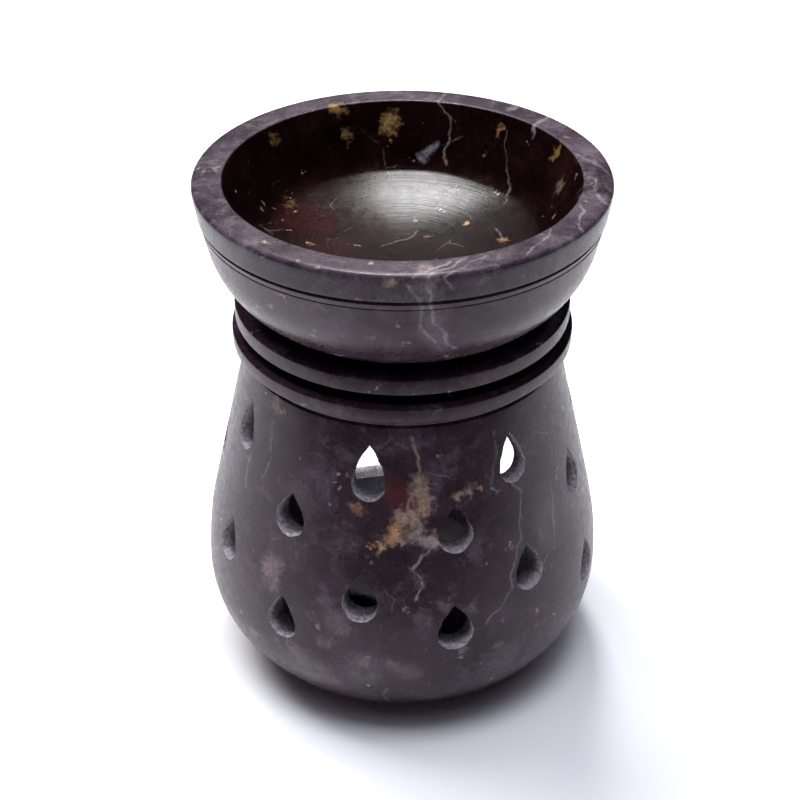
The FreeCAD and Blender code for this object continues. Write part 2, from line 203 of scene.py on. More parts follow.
def turned(corners: Sequence[Corner], steps: int = TURN_STEPS) -> BMesh:
    """Turn a closed solid on the lathe from an outline that starts and ends on the axis.

    Args:
        corners: the outline, in millimetres.
        steps: steps round the axis.

    Returns:
        The solid as a bmesh, in metres, with its faces outwards.
    """
    solid = bmesh.new()
    verts = [solid.verts.new(point * MM) for point in softened(corners)]
    edges = [solid.edges.new(pair) for pair in zip(verts, verts[1:])]
    bmesh.ops.spin(solid, geom=verts + edges, cent=(0, 0, 0), axis=UP, angle=math.tau,
                   steps=steps, use_merge=True)
    bmesh.ops.remove_doubles(solid, verts=solid.verts, dist=WELD)
    bmesh.ops.recalc_face_normals(solid, faces=solid.faces)
    solid.normal_update()
    return solid


def layered(shape: BMesh, face: BMFace, layers: int) -> list[list[BMVert]]:
    """Extrude a face again and again into a closed stack, for its layers to be moved apart.

    Args:
        shape: the mesh that holds the face.
        face: the face that becomes the first cap.
        layers: how many rings of vertices the stack has.

    Returns:
        The vertices of each ring, from the first cap to the last.
    """
    rings = [list(face.verts)]
    for number in range(1, layers):
        grown = bmesh.ops.extrude_face_region(shape, geom=[face])["geom"]
        if number > 1:
            shape.faces.remove(face)
        face = next(g for g in grown if isinstance(g, BMFace))
        rings.append(list(face.verts))
    return rings


def finished(name: str, shape: BMesh, materials: Iterable[Material],
             sharp: float = SHARP_ANGLE) -> Object:
    """Make a bmesh into a smooth-shaded object at the origin, with its place in its mesh.

    Args:
        name: name of the piece.
        shape: its mesh, in metres, which is used up.
        materials: its materials, in the order of their slots.
        sharp: angle in degrees past which an edge stays crisp.

    Returns:
        The object, linked to the scene.
    """
    mesh = bpy.data.meshes.new(name)
    shape.to_mesh(mesh)
    shape.free()
    for material in materials:
        mesh.materials.append(material)
    mesh.shade_smooth()
    mesh.set_sharp_from_angle(angle=math.radians(sharp))
    piece = bpy.data.objects.new(name, mesh)
    bpy.context.scene.collection.objects.link(piece)
    return piece


class Mineral(Enum):
    """A mineral in the stone, by its colour where the polish brings it out."""

    RUST = "6C2826"
    ROSE = "BBA3A0"
    TAN = "D2B4A0"
    OCHRE = "EBB07C"
    BRASS = "C49A5E"
    HAZE = "867880"
    SLATE = "9A96A2"
    TALC = "D4CACE"
    PIT = "0A080B"


@dataclass(frozen=True)
class Patch:
    """A ragged ball of another mineral that the surface cuts through."""

    centre: Vector
    mineral: Mineral
    reach: float
    strength: float
    tall: float = 1.0


@dataclass(frozen=True)
class Vein:
    """A healed crack: thin sheets of another mineral through the stone, seen as a line on it."""

    course: tuple[Vector, ...]
    mineral: Mineral
    width: float
    strength: float


# Radius in millimetres that a colour ramp's white stands for, where it holds a radius
REACH = 50.0

# A sheet whose ends differ in height by less than this stands upright in the stone
LEVEL_RISE = 0.6

# Settings that several nodes share. Inputs in a list stand in the node's own order, which for a map
# range is its value, the least and most that it comes from, and the least and most that it goes to.
SMOOTH = {"interpolation_type": "SMOOTHSTEP"}
LAID_OVER = {"data_type": "RGBA"}
TINTED = {"data_type": "RGBA", "blend_type": "MULTIPLY"}


@dataclass(frozen=True)
class Finish:
    """What every finish has: a name, and a shader in the object's own coordinates in millimetres."""

    name: str

    def material(self) -> Material:
        """Build the material.

        Returns:
            The material, named for the finish.
        """
        material = bpy.data.materials.new(self.name)
        material.use_nodes = True
        tree = material.node_tree
        coords = add_node(tree, "TexCoord").outputs["Object"]
        real = add_node(tree, "VectorMath", {0: coords, "Scale": 1 / MM}, "SCALE")
        fill(tree, tree.nodes["Principled BSDF"], self.inputs(tree, real))
        return material

    def inputs(self, tree: NodeTree, real: Node) -> dict:
        """Work out the shader's inputs.

        Args:
            tree: the material's nodes.
            real: coordinates in millimetres.

        Returns:
            Values for the inputs, as in fill.
        """
        raise NotImplementedError


@dataclass(frozen=True)
class PolishedSoapstone(Finish):
    """Soapstone, turned, sanded and waxed: near black and purple-brown, clouded and veined.

    The wax gives it a soft clear gloss over dark stone, so that a white table shows pale at its edges.
    """

    dark: str
    middle: str
    light: str
    cloud: str
    cloud_share: float
    roughness: float
    ior: float
    seed: tuple[float, float, float]
    speckle: float
    marks: tuple[Patch | Vein, ...]

    # How much rougher the wax is where it is worn, and where pale haze lies
    wear: float = 0.1
    haze_wear: float = 0.15

    # Feature sizes in millimetres
    ground_grain: float = 15.0
    cloud_grain: float = 8.0
    wisp_grain: float = 3.2
    speckle_grain: float = 0.7
    crack_cell: float = 17.0
    fleck_cell: float = 3.6
    drift_grain: float = 7.0
    drift: float = 5.0
    rag_grain: float = 1.2
    rag: float = 3.6
    grit_grain: float = 0.5
    fade_grain: float = 2.6
    wear_grain: float = 1.6
    pore_grain: float = 0.45
    pore_depth: float = 0.02
    line_pitch: float = 0.45
    line_depth: float = 0.003
    sheet_end: float = 0.9

    # How many times the lathe's lines change round a turn
    line_breaks: float = 2.5

    def inputs(self, tree: NodeTree, real: Node) -> dict:
        """Work out the stone's colour, gloss and relief.

        Args:
            tree: the material's nodes.
            real: coordinates in millimetres.

        Returns:
            Values for the shader's inputs.
        """
        stone = StoneNodes(self, tree, real)
        haze = stone.clouds()
        stone.cracks()
        stone.flecks()
        for mineral in Mineral:
            marks = [mark for mark in self.marks if mark.mineral is mineral]
            if marks:
                stone.marks(marks)
        return {"Base Color": stone.speckled(), "Roughness": stone.gloss(haze), "IOR": self.ior,
                "Normal": stone.relief()}


class StoneNodes:
    """The nodes of one polished stone. Its methods lay one thing after another over its colour."""

    def __init__(self, stone: PolishedSoapstone, tree: NodeTree, real: Node) -> None:
        """Set out the coordinates and the dark ground, which shifts slowly through the block.

        Args:
            stone: what the stone is like.
            tree: the material's nodes.
            real: coordinates in millimetres.
        """
        self.stone, self.real = stone, real
        self.add = partial(add_node, tree)
        self.drifted = self.shifted(real, stone.drift_grain, stone.drift)
        self.ragged = self.shifted(self.drifted, stone.rag_grain, stone.rag)
        depth = self.add("TexNoise", {
            "Vector": self.seeded(self.drifted), "Scale": 1 / stone.ground_grain, "Detail": 7.0,
            "Roughness": 0.62, "Distortion": 0.4})
        self.colour = self.add("ValToRGB", [depth], stops=(
            (0.34, linear(stone.dark)), (0.5, linear(stone.middle)), (0.68, linear(stone.light)))).outputs[0]

    def shifted(self, base: Node, grain: float, amount: float) -> Node:
        """Push coordinates about by noise, so that what is laid out in them wanders.

        Args:
            base: coordinates that are pushed.
            grain: size of the wander, in millimetres.
            amount: how far it goes, in millimetres.

        Returns:
            The node with the pushed coordinates.
        """
        wander = self.add("TexNoise", {"Vector": self.real, "Scale": 1 / grain, "Detail": 3.0})
        centred = self.add("VectorMath", [wander.outputs["Color"], (0.5, 0.5, 0.5)], "SUBTRACT")
        return self.add("VectorMath", [centred, (amount,) * 3, base], "MULTIPLY_ADD")

    def seeded(self, vector: Node) -> Node:
        """Coordinates moved to another part of the block, so that two pieces don't match."""
        return self.add("VectorMath", [vector, self.stone.seed], "ADD")

    def lay(self, share: Node, over: str) -> None:
        """Lay a colour over the stone by a share."""
        laid = self.add("Mix", {0: share, 6: self.colour, 7: linear(over)}, LAID_OVER)
        self.colour = laid.outputs["Result"]

    def clouds(self) -> Node:
        """Lay on pale haze, with finer wisps inside it.

        Returns:
            The share of haze.
        """
        most = self.stone.cloud_share
        cloud = self.add("TexNoise", {
            "Vector": self.seeded(self.real), "Scale": 1 / self.stone.cloud_grain, "Detail": 8.0,
            "Roughness": 0.72, "Distortion": 0.6})
        haze = self.add("MapRange", [cloud, 0.48, 0.74, 0, most], SMOOTH)
        wisp = self.add("TexNoise", {
            "Vector": self.ragged, "Scale": 1 / self.stone.wisp_grain, "Detail": 5.0, "Roughness": 0.75})
        streak = self.add("MapRange", [wisp, 0.55, 0.68, 0, most], SMOOTH)
        thick = self.add("Math", [streak, 0.8, haze], "MULTIPLY_ADD")
        grit = self.add("TexNoise", {
            "Vector": self.real, "Scale": 1 / self.stone.grit_grain, "Detail": 3.0, "Roughness": 0.7})
        broken = self.add("MapRange", [grit, 0.36, 0.64, 0.4, 1.35])
        share = self.add("Math", [thick, broken], {"operation": "MULTIPLY", "use_clamp": True})
        self.lay(share, self.stone.cloud)
        return haze

    def cracks(self) -> None:
        """Lay on hair-thin pale threads between blocks of stone, broken up along their length."""
        blocks = {"Vector": self.seeded(self.drifted), "Scale": 1 / self.stone.crack_cell}
        cell = self.add("TexVoronoi", blocks, {"feature": "DISTANCE_TO_EDGE"})
        thread = self.add("MapRange", [cell, 0.014, 0.0, 0, 0.2])
        gaps = self.add("TexNoise", {
            "Vector": self.seeded(self.real), "Scale": 1 / self.stone.cloud_grain, "Detail": 3.0})
        kept = self.add("MapRange", [gaps, 0.57, 0.7])
        self.lay(self.add("Math", [thread, kept], "MULTIPLY"), Mineral.TALC.value)

    def flecks(self) -> None:
        """Lay on few and small flecks of tan and white, one in some of the cells."""
        for mineral, keep, shift in ((Mineral.OCHRE, 0.9, 0.0), (Mineral.TALC, 0.88, 31.0)):
            moved = self.add("VectorMath", [self.ragged, (shift,) * 3], "ADD")
            cell = self.add("TexVoronoi", {"Vector": moved, "Scale": 1 / self.stone.fleck_cell})
            spot = self.add("MapRange", [cell.outputs["Distance"], 0.2, 0.06, 0, 0.7])
            lot = self.add("SeparateColor", [cell.outputs["Color"]])
            drawn = self.add("Math", [lot, keep], "GREATER_THAN")
            self.lay(self.add("Math", [spot, drawn], "MULTIPLY"), mineral.value)

    def marks(self, marks: Sequence[Patch | Vein]) -> None:
        """Lay on the marks of one mineral, gritty and faded in places.

        Args:
            marks: the marks, each where the stone has it.
        """
        shares = []
        for mark in marks:
            if isinstance(mark, Patch):
                shares.append(self.patch(mark))
            else:
                shares += [self.sheet(mark, a, b) for a, b in zip(mark.course, mark.course[1:])]
        whole = shares[0]
        for share in shares[1:]:
            whole = self.add("Math", [whole, share], "MAXIMUM")
        grit = self.add("TexNoise", {
            "Vector": self.ragged, "Scale": 1 / self.stone.speckle_grain, "Detail": 2.0})
        broken = self.add("MapRange", [grit, 0.3, 0.5, 0.45])
        fade = self.add("TexNoise", {
            "Vector": self.drifted, "Scale": 1 / self.stone.fade_grain, "Detail": 4.0, "Roughness": 0.65})
        faded = self.add("MapRange", [fade, 0.36, 0.52, 0.35])
        thin = self.add("Math", [broken, faded], "MULTIPLY")
        self.lay(self.add("Math", [whole, thin], "MULTIPLY"), marks[0].mineral.value)

    def patch(self, mark: Patch) -> Node:
        """Share of one patch, whose edge is ragged.

        Args:
            mark: the patch.

        Returns:
            The node with the share.
        """
        away = self.add("VectorMath", [self.ragged, mark.centre], "SUBTRACT")
        squared = self.add("VectorMath", [away, (1, 1, 1 / mark.tall)], "MULTIPLY")
        far = self.add("VectorMath", [squared], "LENGTH")
        return self.add("MapRange", [
            far.outputs["Value"], mark.reach * 1.15, mark.reach * 0.3, 0, mark.strength], SMOOTH)

    def sheet(self, mark: Vein, start: Vector, end: Vector) -> Node:
        """Share of one sheet of a vein, which runs into the stone between two points of its course.

        Args:
            mark: the vein.
            start: first point of the sheet.
            end: last point of the sheet.

        Returns:
            The node with the share.
        """
        middle = (start + end) / 2
        level = abs(end.z - start.z) < LEVEL_RISE
        inward = UP if level else Vector((middle.x, middle.y, 0)).normalized()
        across = (end - start).cross(inward).normalized()
        reach = (end - start).length / 2
        along = self.add("VectorMath", [self.drifted, across], "DOT_PRODUCT")
        off = self.add("Math", [along.outputs["Value"], across.dot(middle)], "SUBTRACT")
        aside = self.add("Math", [off], "ABSOLUTE")
        line = self.add("MapRange", [aside, mark.width, mark.width * 0.1, 0, mark.strength * 0.75], SMOOTH)
        far = self.add("VectorMath", [self.drifted, middle], "DISTANCE")
        near = self.add("MapRange", [far.outputs["Value"], reach + self.stone.sheet_end, reach])
        return self.add("Math", [line, near], "MULTIPLY")

    def speckled(self) -> NodeSocket:
        """Give the stone a fine mineral grain, a little lighter and darker than what it lies in.

        Returns:
            The stone's whole colour.
        """
        grain = self.add("TexNoise", {
            "Vector": self.real, "Scale": 1 / self.stone.speckle_grain, "Detail": 3.0, "Roughness": 0.7})
        level = self.add("MapRange", [grain, 0.3, 0.7, 1 - self.stone.speckle, 1 + self.stone.speckle])
        return self.add("Mix", {0: 1.0, 6: self.colour, 7: level}, TINTED).outputs["Result"]

    def gloss(self, haze: Node) -> Node:
        """Roughness of the wax: higher where it is worn, and in the soft pale mineral.

        Args:
            haze: share of haze.

        Returns:
            The node with the roughness.
        """
        wear = self.add("TexNoise", {
            "Vector": self.real, "Scale": 1 / self.stone.wear_grain, "Detail": 6.0, "Roughness": 0.75})
        shine = self.add("MapRange", [
            wear, 0.34, 0.66, self.stone.roughness - 0.08, self.stone.roughness + self.stone.wear])
        return self.add("Math", [haze, self.stone.haze_wear, shine], "MULTIPLY_ADD")

    def relief(self) -> Node:
        """Fine lines that run round the stone from the lathe, broken here and there, and small pits.

        Returns:
            The node with the normal.
        """
        height, radius, flat = turned_place(self.add, self.real)
        ring = self.add("Math", [height, 0.9, radius], "MULTIPLY_ADD")
        heading = self.add("VectorMath", [flat], "NORMALIZE")
        slow = self.add("VectorMath", {0: heading, "Scale": self.stone.line_breaks}, "SCALE")
        up = self.add("CombineXYZ", {2: ring})
        along = self.add("VectorMath", [up, (1 / self.stone.line_pitch,) * 3, slow], "MULTIPLY_ADD")
        lines = self.add("TexNoise", {"Vector": along, "Scale": 1.0, "Detail": 3.0, "Roughness": 0.6})
        scored = self.add("Bump", {"Height": lines, "Distance": self.stone.line_depth * MM})
        pores = self.add("TexNoise", {
            "Vector": self.real, "Scale": 1 / self.stone.pore_grain, "Detail": 3.0, "Roughness": 0.6})
        return self.add("Bump", {"Height": pores, "Distance": self.stone.pore_depth * MM, "Normal": scored})


def turned_place(add: Callable[..., Node], real: Node) -> tuple[NodeSocket, NodeSocket, Node]:
    """Height, radius and flat place of the point that is shaded.

    Args:
        add: adds a node to the material.
        real: coordinates in millimetres.

    Returns:
        The height, the radius from the lathe's axis, and the coordinates with the height left out.
    """
    parts = add("SeparateXYZ", [real])
    flat = add("CombineXYZ", [parts.outputs[0], parts.outputs[1]])
    return parts.outputs[2], add("VectorMath", [flat], "LENGTH").outputs["Value"], flat


@dataclass(frozen=True)
class RawSoapstone(Finish):
    """Soapstone left off the tool: chalky, pale grey where it is bruised, with no wax on it.

    A cut is painted palest at its mouth, as painted light on its lip, and painted darker further in, as
    painted shade deep in the hole.
    """

    dark: str
    light: str
    grain: float
    relief: float

    # Heights and radii of the surface that the cuts go in from, and the least brightness deep inside, which
    # is painted shade
    mouths: tuple[tuple[float, float], ...] = ()
    deep_shade: float = 0.42

    def inputs(self, tree: NodeTree, real: Node) -> dict:
        """Work out the raw stone's colour and relief.

        Args:
            tree: the material's nodes.
            real: coordinates in millimetres.

        Returns:
            Values for the shader's inputs.
        """
        bruise = add_node(tree, "TexNoise", {
            "Vector": real, "Scale": 1 / self.grain, "Detail": 6.0, "Roughness": 0.7})
        colour = add_node(tree, "ValToRGB", [bruise], stops=(
            (0.36, linear(self.dark)), (0.64, linear(self.light)))).outputs[0]
        # Painted light at each cut's mouth and painted shade further in
        if self.mouths:
            mouth_light_and_shade = self._depth_light_and_shade(tree, real)
            colour = add_node(tree, "Mix", {0: 1.0, 6: colour, 7: mouth_light_and_shade}, TINTED).outputs["Result"]
        bump = add_node(tree, "Bump", {"Height": bruise, "Distance": self.relief * MM})
        return {"Base Color": colour, "Normal": bump, "Roughness": 0.85}

    def _depth_light_and_shade(self, tree: NodeTree, real: Node) -> Node:
        """Painted light and shade of a cut by its depth below the surface that it goes in from: lighter at
        the mouth, darker further in.

        Args:
            tree: the material's nodes.
            real: coordinates in millimetres.

        Returns:
            The node with the painted brightness.
        """
        height, radius, _ = turned_place(partial(add_node, tree), real)
        top = self.mouths[-1][0]
        share = add_node(tree, "Math", [height, top], "DIVIDE")
        surface = add_node(tree, "ValToRGB", [share], stops=[
            (at / top, (reach / REACH,) * 3 + (1,)) for at, reach in self.mouths])
        skin = add_node(tree, "Math", [surface, REACH], "MULTIPLY")
        below = add_node(tree, "Math", [skin, radius], "SUBTRACT")
        # Painted light at the mouth, painted shade deeper in
        return add_node(tree, "MapRange", [below, 0.3, 2.8, 1.15, self.deep_shade], SMOOTH)


@dataclass(frozen=True)
class DrawnSheet(Finish):
    """Thin bright sheet, deep drawn or stamped: faint upright draw marks and a satin blur."""

    colour: str
    roughness: float

    # Sizes in millimetres of the marks that the tool leaves
    mark_width: float = 0.4
    mark_length: float = 8.0
    mark_depth: float = 0.01

    def inputs(self, tree: NodeTree, real: Node) -> dict:
        """Work out the sheet's colour, blur and marks.

        Args:
            tree: the material's nodes.
            real: coordinates in millimetres.

        Returns:
            Values for the shader's inputs.
        """
        stretch = (1 / self.mark_width, 1 / self.mark_width, 1 / self.mark_length)
        stretched = add_node(tree, "Mapping", {"Vector": real, "Scale": stretch})
        draw = add_node(tree, "TexNoise", {"Vector": stretched, "Scale": 1.0, "Detail": 4.0})
        blur = add_node(tree, "MapRange", [draw, 0.3, 0.7, self.roughness - 0.08, self.roughness + 0.12])
        bump = add_node(tree, "Bump", {"Height": draw, "Distance": self.mark_depth * MM})
        return {"Base Color": linear(self.colour), "Metallic": 1.0, "Roughness": blur, "Normal": bump}


@dataclass(frozen=True)
class ParaffinWax(Finish):
    """Paraffin wax, poured and set: milky, with light going a little way in and a greasy sheen."""

    name: str = "poured_paraffin"
    colour: str = "F1EEE4"
    frost_grain: float = 3.0
    frost_depth: float = 0.06

    def inputs(self, tree: NodeTree, real: Node) -> dict:
        """Work out the wax's milky colour, sheen and light inside.

        Args:
            tree: the material's nodes.
            real: coordinates in millimetres.

        Returns:
            Values for the shader's inputs.
        """
        frost = add_node(tree, "TexNoise", {"Vector": real, "Scale": 1 / self.frost_grain, "Detail": 5.0})
        milk = add_node(tree, "MapRange", [frost, 0.35, 0.65, 0.9])
        colour = add_node(tree, "Mix", {0: 1.0, 6: linear(self.colour), 7: milk}, TINTED)
        bump = add_node(tree, "Bump", {"Height": frost, "Distance": self.frost_depth * MM})
        return {"Base Color": colour.outputs["Result"], "Normal": bump, "Roughness": 0.42, "IOR": 1.44,
                "Subsurface Weight": 0.4, "Subsurface Radius": (1.0, 0.8, 0.6), "Subsurface Scale": 2 * MM}


@dataclass(frozen=True)
class BraidedCotton(Finish):
    """Cotton cord, braided and dipped: off-white strands that cross at a slant, slightly waxy, with painted
    shade in the gaps between them.
    """

    name: str = "waxed_cotton_braid"
    colour: str = "E6E0D2"
    # Colour of the gaps between the strands: painted shade where the relief is low
    gap_shade: str = "9C9484"
    strand: float = 0.55
    strand_depth: float = 0.05

    def inputs(self, tree: NodeTree, real: Node) -> dict:
        """Work out the strands' colour, painted darker in the gaps as shade, and their relief.

        Args:
            tree: the material's nodes.
            real: coordinates in millimetres.

        Returns:
            Values for the shader's inputs.
        """
        slanted = add_node(tree, "Mapping", {
            "Vector": real, "Rotation": (0.6, 0.6, 0), "Scale": (1 / self.strand,) * 3})
        strands = add_node(tree, "TexWave", {
            "Vector": slanted, "Scale": 0.5, "Distortion": 2.0, "Detail": 2.0})
        colour = add_node(tree, "ValToRGB", [strands], stops=(
            (0, linear(self.gap_shade)), (1, linear(self.colour))))
        bump = add_node(tree, "Bump", {"Height": strands, "Distance": self.strand_depth * MM})
        return {"Base Color": colour, "Normal": bump, "Roughness": 0.7}


class Cut(IntEnum):
    """Material slots of the pot: polished outside, filed openings, bored inside, and grooves painted near
    black as shade.
    """

    POLISHED = 0
    FILED = 1
    BORED = 2
    GROOVE_SHADE = 3


@dataclass
class SoapstonePot:
    """The pot: one turned stone, pierced by hand, with a doorway for the tea light at the back."""

    belly_radius: float = 41.8
    belly_height: float = 21.4
    foot_radius: float = 24.0
    flank_round: float = 70.0
    flank_lean: float = 13.0
    body_top: float = 72.5
    line_width: float = 0.8
    line_depth: float = 0.5
    neck_height: float = 1.9
    lower_ring_stand: float = 2.25
    lower_ring_taper: float = 0.1
    lower_ring_height: float = 3.0
    groove_height: float = 2.7
    groove_depth: float = 2.8
    hairline: float = 0.35
    upper_ring_set_back: float = 0.75
    upper_ring_height: float = 3.3
    edge_round: float = 0.4
    collar_wall: float = 7.3
    bore_depth: float = 13.7
    shoulder_drop: float = 6.5
    shoulder_round: float = 1.0
    wall: float = 4.5
    wall_taper: float = 2.6
    floor_height: float = 10.0
    door_half_width: float = 25.0
    door_spring: float = 9.2
    sill_rise: float = 2.8
    drop_bow: float = 16.0
    cut_depth: float = 13.0
    door_cut_depth: float = 17.0
    drop_flare: float = 0.12
    door_flare: float = 0.4
    lip_depth: float = 0.5
    drop_step: float = 0.5

    # Depths of a cutter's layers at its mouth, and how far in the even ones under them begin
    mouth_layers: tuple[float, ...] = (-0.7, -0.35, -0.1, 0.25, 1.5)
    mouth_depth: float = 1.2
    deep_layers: int = 6

    # How far the file's marks stand out, and how quickly they and the chips change over a millimetre
    file_mark: float = 0.16
    marks_per_mm: float = 0.75
    chips_per_mm: float = 0.9

    # How fast a mouth flares, how uneven its flare is, and what sets one hole's roughness off from the next
    flare_power: float = 1.5
    chip_share: float = 1.5
    seed_step: float = 7.3
    door_seed: float = 3.1

    # Heights at which the side's radius is told to the finish of the cuts
    told_heights: tuple[float, ...] = (0, 4, 9, 15, 22, 30, 38, 46, 54, 62, 72)

    # Teardrops row by row, from behind on the left round the front: azimuth, tip, bottom and width
    drops: tuple[tuple[float, float, float, float], ...] = (
        (-155.5, 67.9, 57.2, 6.3), (-104.2, 68.3, 57.6, 6.3), (-52.8, 68, 57, 6.2), (0.1, 68.8, 57.7, 6.5),
        (49.1, 67.6, 57.4, 6.3), (101.7, 68.2, 57.3, 6.4), (153.1, 67.7, 57, 6.2),
        (-127.5, 55.2, 45.7, 6.6), (-76.4, 55, 45.6, 6.7), (-25.6, 55.2, 46.2, 6.9), (27.1, 56, 46.5, 6.9),
        (79.1, 55, 45.2, 6.5), (129.6, 55.3, 45.6, 6.7), (-103.6, 40.9, 31.1, 6.8),
        (-51.4, 41.6, 31.5, 6.7), (-1.1, 42.4, 32.2, 7.1), (50.4, 43.4, 33.6, 7), (102.2, 41.2, 31, 6.9),
        (-127.6, 33.4, 23.5, 7), (-76.1, 33.2, 23.3, 6.9), (-25, 33.1, 23.1, 6.9), (25.7, 35.4, 25.4, 7.3),
        (79.6, 33, 22.8, 7), (129.4, 33.3, 23.2, 7),
    )

    def __post_init__(self) -> None:
        """Work out the sizes that follow from the driving ones."""
        run = self.belly_radius - self.foot_radius
        lean = math.radians(self.flank_lean)
        self.base_round = (run ** 2 + self.belly_height ** 2) / (2 * run)
        self.bend_top = self.belly_height + self.flank_round * math.sin(lean)
        self.neck_radius = self.side_radius(self.body_top)
        self.ring_base = self.body_top + self.line_width + self.neck_height
        self.lower_ring = self.neck_radius + self.lower_ring_stand
        self.lower_ring_top = self.ring_base + self.lower_ring_height
        self.upper_ring = self.lower_ring - self.upper_ring_set_back
        self.upper_ring_base = self.lower_ring_top + self.groove_height
        self.collar_top = self.upper_ring_base + self.upper_ring_height
        self.bore_radius = self.neck_radius - self.collar_wall
        self.bore_foot = self.collar_top - self.bore_depth
        self.sill = self.floor_height + self.sill_rise

    def side_radius(self, height: float) -> float:
        """Radius of the pot's side at a height.

        Args:
            height: a height up to the neck.

        Returns:
            The radius.
        """
        lean = math.radians(self.flank_lean)
        if height <= self.belly_height:
            drop = self.belly_height - height
            return self.belly_radius - self.base_round + math.sqrt(self.base_round ** 2 - drop ** 2)
        if height <= self.bend_top:
            rise = height - self.belly_height
            return self.belly_radius - self.flank_round + math.sqrt(self.flank_round ** 2 - rise ** 2)
        bend = self.belly_radius - self.flank_round * (1 - math.cos(lean))
        return bend - (height - self.bend_top) * math.tan(lean)

    def spot(self, azimuth: float, height: float) -> Vector:
        """Point on the pot's side."""
        return place(azimuth, self.side_radius(height), height)

    def mouths(self) -> tuple[tuple[float, float], ...]:
        """Heights and radii of the side that the cuts go in from."""
        return tuple((height, self.side_radius(height)) for height in self.told_heights)

    def outline(self) -> list[Corner]:
        """The pot's section.

        Returns:
            Its corners, from the middle of its foot round to the middle of its chamber's floor.
        """
        base = (self.belly_radius - self.base_round, self.belly_height)
        flank = (self.belly_radius - self.flank_round, self.belly_height)
        heel = -math.degrees(math.acos((self.foot_radius - base[0]) / self.base_round))
        middle = self.lower_ring_top + self.groove_height / 2
        groove = self.upper_ring - self.groove_depth
        outside = [
            Corner(0, 0),
            *arc(base, self.base_round, heel, 0),
            *arc(flank, self.flank_round, 0, self.flank_lean)[1:],
            Corner(self.neck_radius, self.body_top, FINE_ROUND),
            Corner(self.neck_radius - self.line_depth, self.body_top + self.line_width / 2),
            Corner(self.neck_radius, self.body_top + self.line_width, FINE_ROUND),
            Corner(self.neck_radius, self.ring_base),
            Corner(self.lower_ring - self.lower_ring_taper, self.ring_base, self.edge_round),
            Corner(self.lower_ring, self.lower_ring_top, self.edge_round),
            Corner(groove + self.hairline, middle - self.hairline),
            Corner(groove + self.hairline, middle),
            Corner(groove, middle + self.hairline),
            Corner(self.upper_ring, self.upper_ring_base, self.edge_round),
            Corner(self.upper_ring, self.collar_top, self.edge_round),
        ]
        return outside + self._inside(base)

    def _inside(self, base: tuple[float, float]) -> list[Corner]:
        """The section's inner part.

        Args:
            base: centre of the base's rounding, which the chamber shares.

        Returns:
            The corners of the bore, the shoulder and the chamber, down to the middle of its floor.
        """
        lean = math.radians(self.flank_lean - self.wall_taper)
        centre = (self.belly_radius - self.wall - self.flank_round, self.belly_height)
        top = self.bore_foot - self.shoulder_drop
        bend = Vector((centre[0] + self.flank_round * math.cos(lean),
                       centre[1] + self.flank_round * math.sin(lean)))
        shoulder = bend.x - (top - bend.y) * math.tan(lean)
        inner_round = self.base_round - self.wall
        foot = -math.degrees(math.asin((self.belly_height - self.floor_height) / inner_round))
        return [
            Corner(self.bore_radius, self.collar_top, self.edge_round),
            Corner(self.bore_radius, self.bore_foot, self.edge_round),
            Corner(shoulder, top, self.shoulder_round),
            *arc(centre, self.flank_round, math.degrees(lean), 0),
            *arc(base, inner_round, 0, foot)[1:],
            Corner(0, self.floor_height),
        ]

    def teardrop(self, length: float, width: float) -> list[Vector]:
        """A drop's outline: a round bottom, and two bowed sides that meet in a point.

        Args:
            length: from its tip to its bottom.
            width: its width.

        Returns:
            Points about the centre of its round bottom.
        """
        radius = width / 2
        rise = length - radius
        down = (2 * self.drop_bow * radius - radius ** 2 - rise ** 2) / (2 * rise)
        across = math.sqrt((self.drop_bow - radius) ** 2 - down ** 2)
        turn = math.degrees(math.atan2(down, across))
        bottom = arc((0, 0), radius, -180 - turn, turn, self.drop_step)
        tip = math.degrees(math.atan2(rise + down, across))
        side = arc((-across, -down), self.drop_bow, turn, tip, 1.2 * self.drop_step)
        right = [Vector((c.radius, c.height)) for c in bottom + side[1:]]
        left = [Vector((-c.radius, c.height)) for c in reversed(side[1:-1])]
        return right + left

    def doorway(self) -> list[Vector]:
        """The doorway's outline: a straight sill, short jambs and a round arch.

        Returns:
            Points about the middle of its sill.
        """
        half = self.door_half_width
        jambs = [(-half, self.door_spring), (-half, 0.0), (half, 0.0), (half, self.door_spring)]
        points = []
        for (ax, ay), (bx, by) in zip(jambs, jambs[1:]):
            pieces = math.ceil(math.hypot(bx - ax, by - ay) / OUTLINE_STEP)
            points += [Vector((ax + (bx - ax) * k / pieces, ay + (by - ay) * k / pieces))
                       for k in range(pieces)]
        crown = arc((0, self.door_spring), half, 0, 180)
        return points + [Vector((c.radius, c.height)) for c in crown[:-1]]

